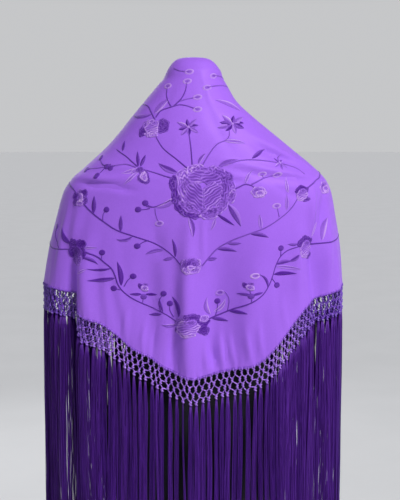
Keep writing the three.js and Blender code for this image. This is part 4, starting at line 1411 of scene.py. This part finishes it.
def make_form(material):
    """The limbless body under the cloth, closed at the neck and at the hip."""
    heights = np.linspace(FORM_SECTIONS[-1][0], FORM_SECTIONS[0][0], FORM_ROWS)
    reach = along(FORM_SECTIONS, heights)
    end = np.minimum(heights - heights[0], FORM_EDGE_ROUND) / FORM_EDGE_ROUND
    shrink = FORM_EDGE_ROUND * (1 - np.sqrt(np.clip(1 - (1 - end) ** 2, 0, 1)))
    reach = reach - shrink[:, None]
    four = np.stack([reach[:, 0], reach[:, 0], reach[:, 1], reach[:, 2]], axis=-1)
    turn = -180 + 360 * np.arange(FORM_COLUMNS) / FORM_COLUMNS
    x, y = level_point(four[:, None, :], turn + NUDGE, FORM_SQUARENESS)
    groove = np.zeros(x.shape)
    for seam in FORM_SEAMS:
        away = (turn[None, :] - seam + 180) % 360 - 180
        groove -= SEAM_DEPTH * np.exp(-((away / SEAM_WIDTH) ** 2))
    size = 1 + groove / np.hypot(x, y)
    points = np.stack([x * size, y * size, heights[:, None] + 0 * x], axis=-1).reshape(-1, 3)
    faces = grid_faces(FORM_ROWS, FORM_COLUMNS, closed=True).tolist()
    faces.append(list(range(FORM_COLUMNS))[::-1])
    faces.append(list(range((FORM_ROWS - 1) * FORM_COLUMNS, FORM_ROWS * FORM_COLUMNS)))
    return new_mesh("jersey_body", points, faces, material)


def rounded(outline):
    """An outline with each corner rounded by its own radius."""
    made = []
    last = len(outline) - 1
    for k, (radius, z, curve) in enumerate(outline):
        corner = np.array([radius, z], float)
        if curve == 0 and k in (0, last):
            made.append(corner)
            continue
        before = np.array(outline[k - 1][:2], float) - corner
        after = np.array(outline[(k + 1) % len(outline)][:2], float) - corner
        reach = min(curve, np.hypot(*before) / 2.1, np.hypot(*after) / 2.1)
        if reach < 1e-6:
            made.append(corner)
            continue
        start = corner + before / np.hypot(*before) * reach
        end = corner + after / np.hypot(*after) * reach
        for t in np.linspace(0, 1, ROUND_STEPS):
            made.append((1 - t) ** 2 * start + 2 * t * (1 - t) * corner + t**2 * end)
    return np.array(made)


def make_turned(name, outline, material):
    """A turned piece round the upright axis. An outline that starts off the axis is a ring."""
    profile = rounded(outline)
    ring = outline[0][0] > 0
    levels = profile if ring else profile[1:-1]
    turn = 2 * math.pi * np.arange(TURNED_SEGMENTS) / TURNED_SEGMENTS
    x, y = levels[:, :1] * np.cos(turn), levels[:, :1] * np.sin(turn)
    points = np.stack([x, y, levels[:, 1:] + 0 * turn], axis=-1).reshape(-1, 3)
    rows = len(levels) + ring
    faces = (grid_faces(rows, TURNED_SEGMENTS, closed=True)[:, ::-1] % len(points)).tolist()
    if ring:
        return new_mesh(name, points, faces, material)
    top = len(points)
    last_row = top - TURNED_SEGMENTS
    for k in range(TURNED_SEGMENTS):
        after = (k + 1) % TURNED_SEGMENTS
        faces += [[top, k, after], [top + 1, last_row + after, last_row + k]]
    ends = [(0, 0, profile[0][1]), (0, 0, profile[-1][1])]
    return new_mesh(name, np.vstack([points, ends]), faces, material)


# The stage


def make_floor(material):
    bpy.ops.mesh.primitive_circle_add(vertices=128, radius=FLOOR_RADIUS, fill_type="NGON")
    floor = bpy.context.object
    floor.name = "floor"
    floor.data.materials.append(material)


def add_light(kind, name, power, shines_from):
    """A light that shines the opposite way to the vector `shines_from`."""
    data = bpy.data.lights.new(name, kind)
    data.energy = power
    lamp = bpy.data.objects.new(name, data)
    lamp.rotation_euler = Vector(shines_from).to_track_quat("Z", "Y").to_euler()
    bpy.context.scene.collection.objects.link(lamp)
    return lamp


def light_stage():
    world = bpy.data.worlds.new("pale_room")
    world.use_nodes = True
    nodes, links = world.node_tree.nodes, world.node_tree.links
    place = nodes.new("ShaderNodeTexCoord")
    split = nodes.new("ShaderNodeSeparateXYZ")
    fade = nodes.new("ShaderNodeMapRange")
    limits = {
        "From Min": HORIZON_TOP, "From Max": ROOM_FROM,
        "To Min": HORIZON_STRENGTH, "To Max": ROOM_STRENGTH,
    }
    for name, number in limits.items():
        fade.inputs[name].default_value = number
    links.new(place.outputs["Generated"], split.inputs["Vector"])
    links.new(split.outputs["Z"], fade.inputs["Value"])
    links.new(fade.outputs["Result"], nodes["Background"].inputs["Strength"])
    nodes["Background"].inputs["Color"].default_value = ROOM_COLOUR
    bpy.context.scene.world = world
    key = add_light("SUN", "key", KEY_STRENGTH, KEY_FROM)
    key.data.angle = math.radians(KEY_SOFTNESS)
    fill = add_light("AREA", "front_fill", FILL_POWER, Vector(FILL_PLACE) - Vector(FILL_AIM))
    fill.location = FILL_PLACE
    fill.data.shape = "RECTANGLE"
    fill.data.size, fill.data.size_y = FILL_SIZE


def add_camera():
    """The photograph's view: its distance, its fall and its scale at the upright axis."""
    fall = math.radians(CAMERA_PITCH)
    data = bpy.data.cameras.new("view")
    data.sensor_fit = "AUTO"
    data.sensor_width = SENSOR
    data.clip_end = 3 * FLOOR_RADIUS
    data.lens = SENSOR * CAMERA_DISTANCE / MM_PER_PIXEL / IMAGE_HEIGHT
    camera = bpy.data.objects.new("view", data)
    aim = Vector((CAMERA_X, 0, AIM_HEIGHT)) * MM
    camera.location = aim + Vector((0, -math.cos(fall), math.sin(fall))) * CAMERA_DISTANCE * MM
    camera.rotation_euler = (math.radians(90) - fall, 0, 0)
    bpy.context.scene.collection.objects.link(camera)
    bpy.context.scene.camera = camera


def build():
    rng = np.random.default_rng(17)
    bpy.context.scene.view_settings.view_transform = "Standard"
    add_camera()
    light_stage()
    make_floor(floor_material())

    silk = embroidery_material()
    net_silk = thread_material(
        "knotted_silk", srgb(88, 32, 172), srgb(200, 148, 255), Roughness=0.28, Specular_IOR_Level=0.7,
    )
    fringe_silk = thread_material(
        "fringe_silk", srgb(54, 16, 106), srgb(100, 48, 160), Roughness=0.4, Specular_IOR_Level=0.45,
        Specular_Tint=srgb(200, 150, 255),
    )
    cloth, outer = make_cloth(crepe_material())
    trims = [make_hem(outer, silk), embroider(silk)]
    for side, label in ((-1, "left"), (1, "right")):
        net = make_net(side, f"knotted_net_{label}", net_silk, rng)
        fringe = make_fringe(side, f"fringe_threads_{label}", fringe_silk, rng)
        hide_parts(f"macrame_net_{label}")
        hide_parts(f"fringe_{label}")
        trims += [net, fringe]
    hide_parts("shawl_cloth")
    body = make_form(jersey_material())
    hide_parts("form_body")
    finishes = {"cap": cap_material(), "steel": steel_material()}
    stand = []
    for name, (node, slot, outline) in TURNED.items():
        piece = make_turned(name, outline, finishes[slot])
        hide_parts(node)
        stand.append(piece)
    for piece in [cloth, *trims, body, *stand]:
        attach(piece, "root")


build()
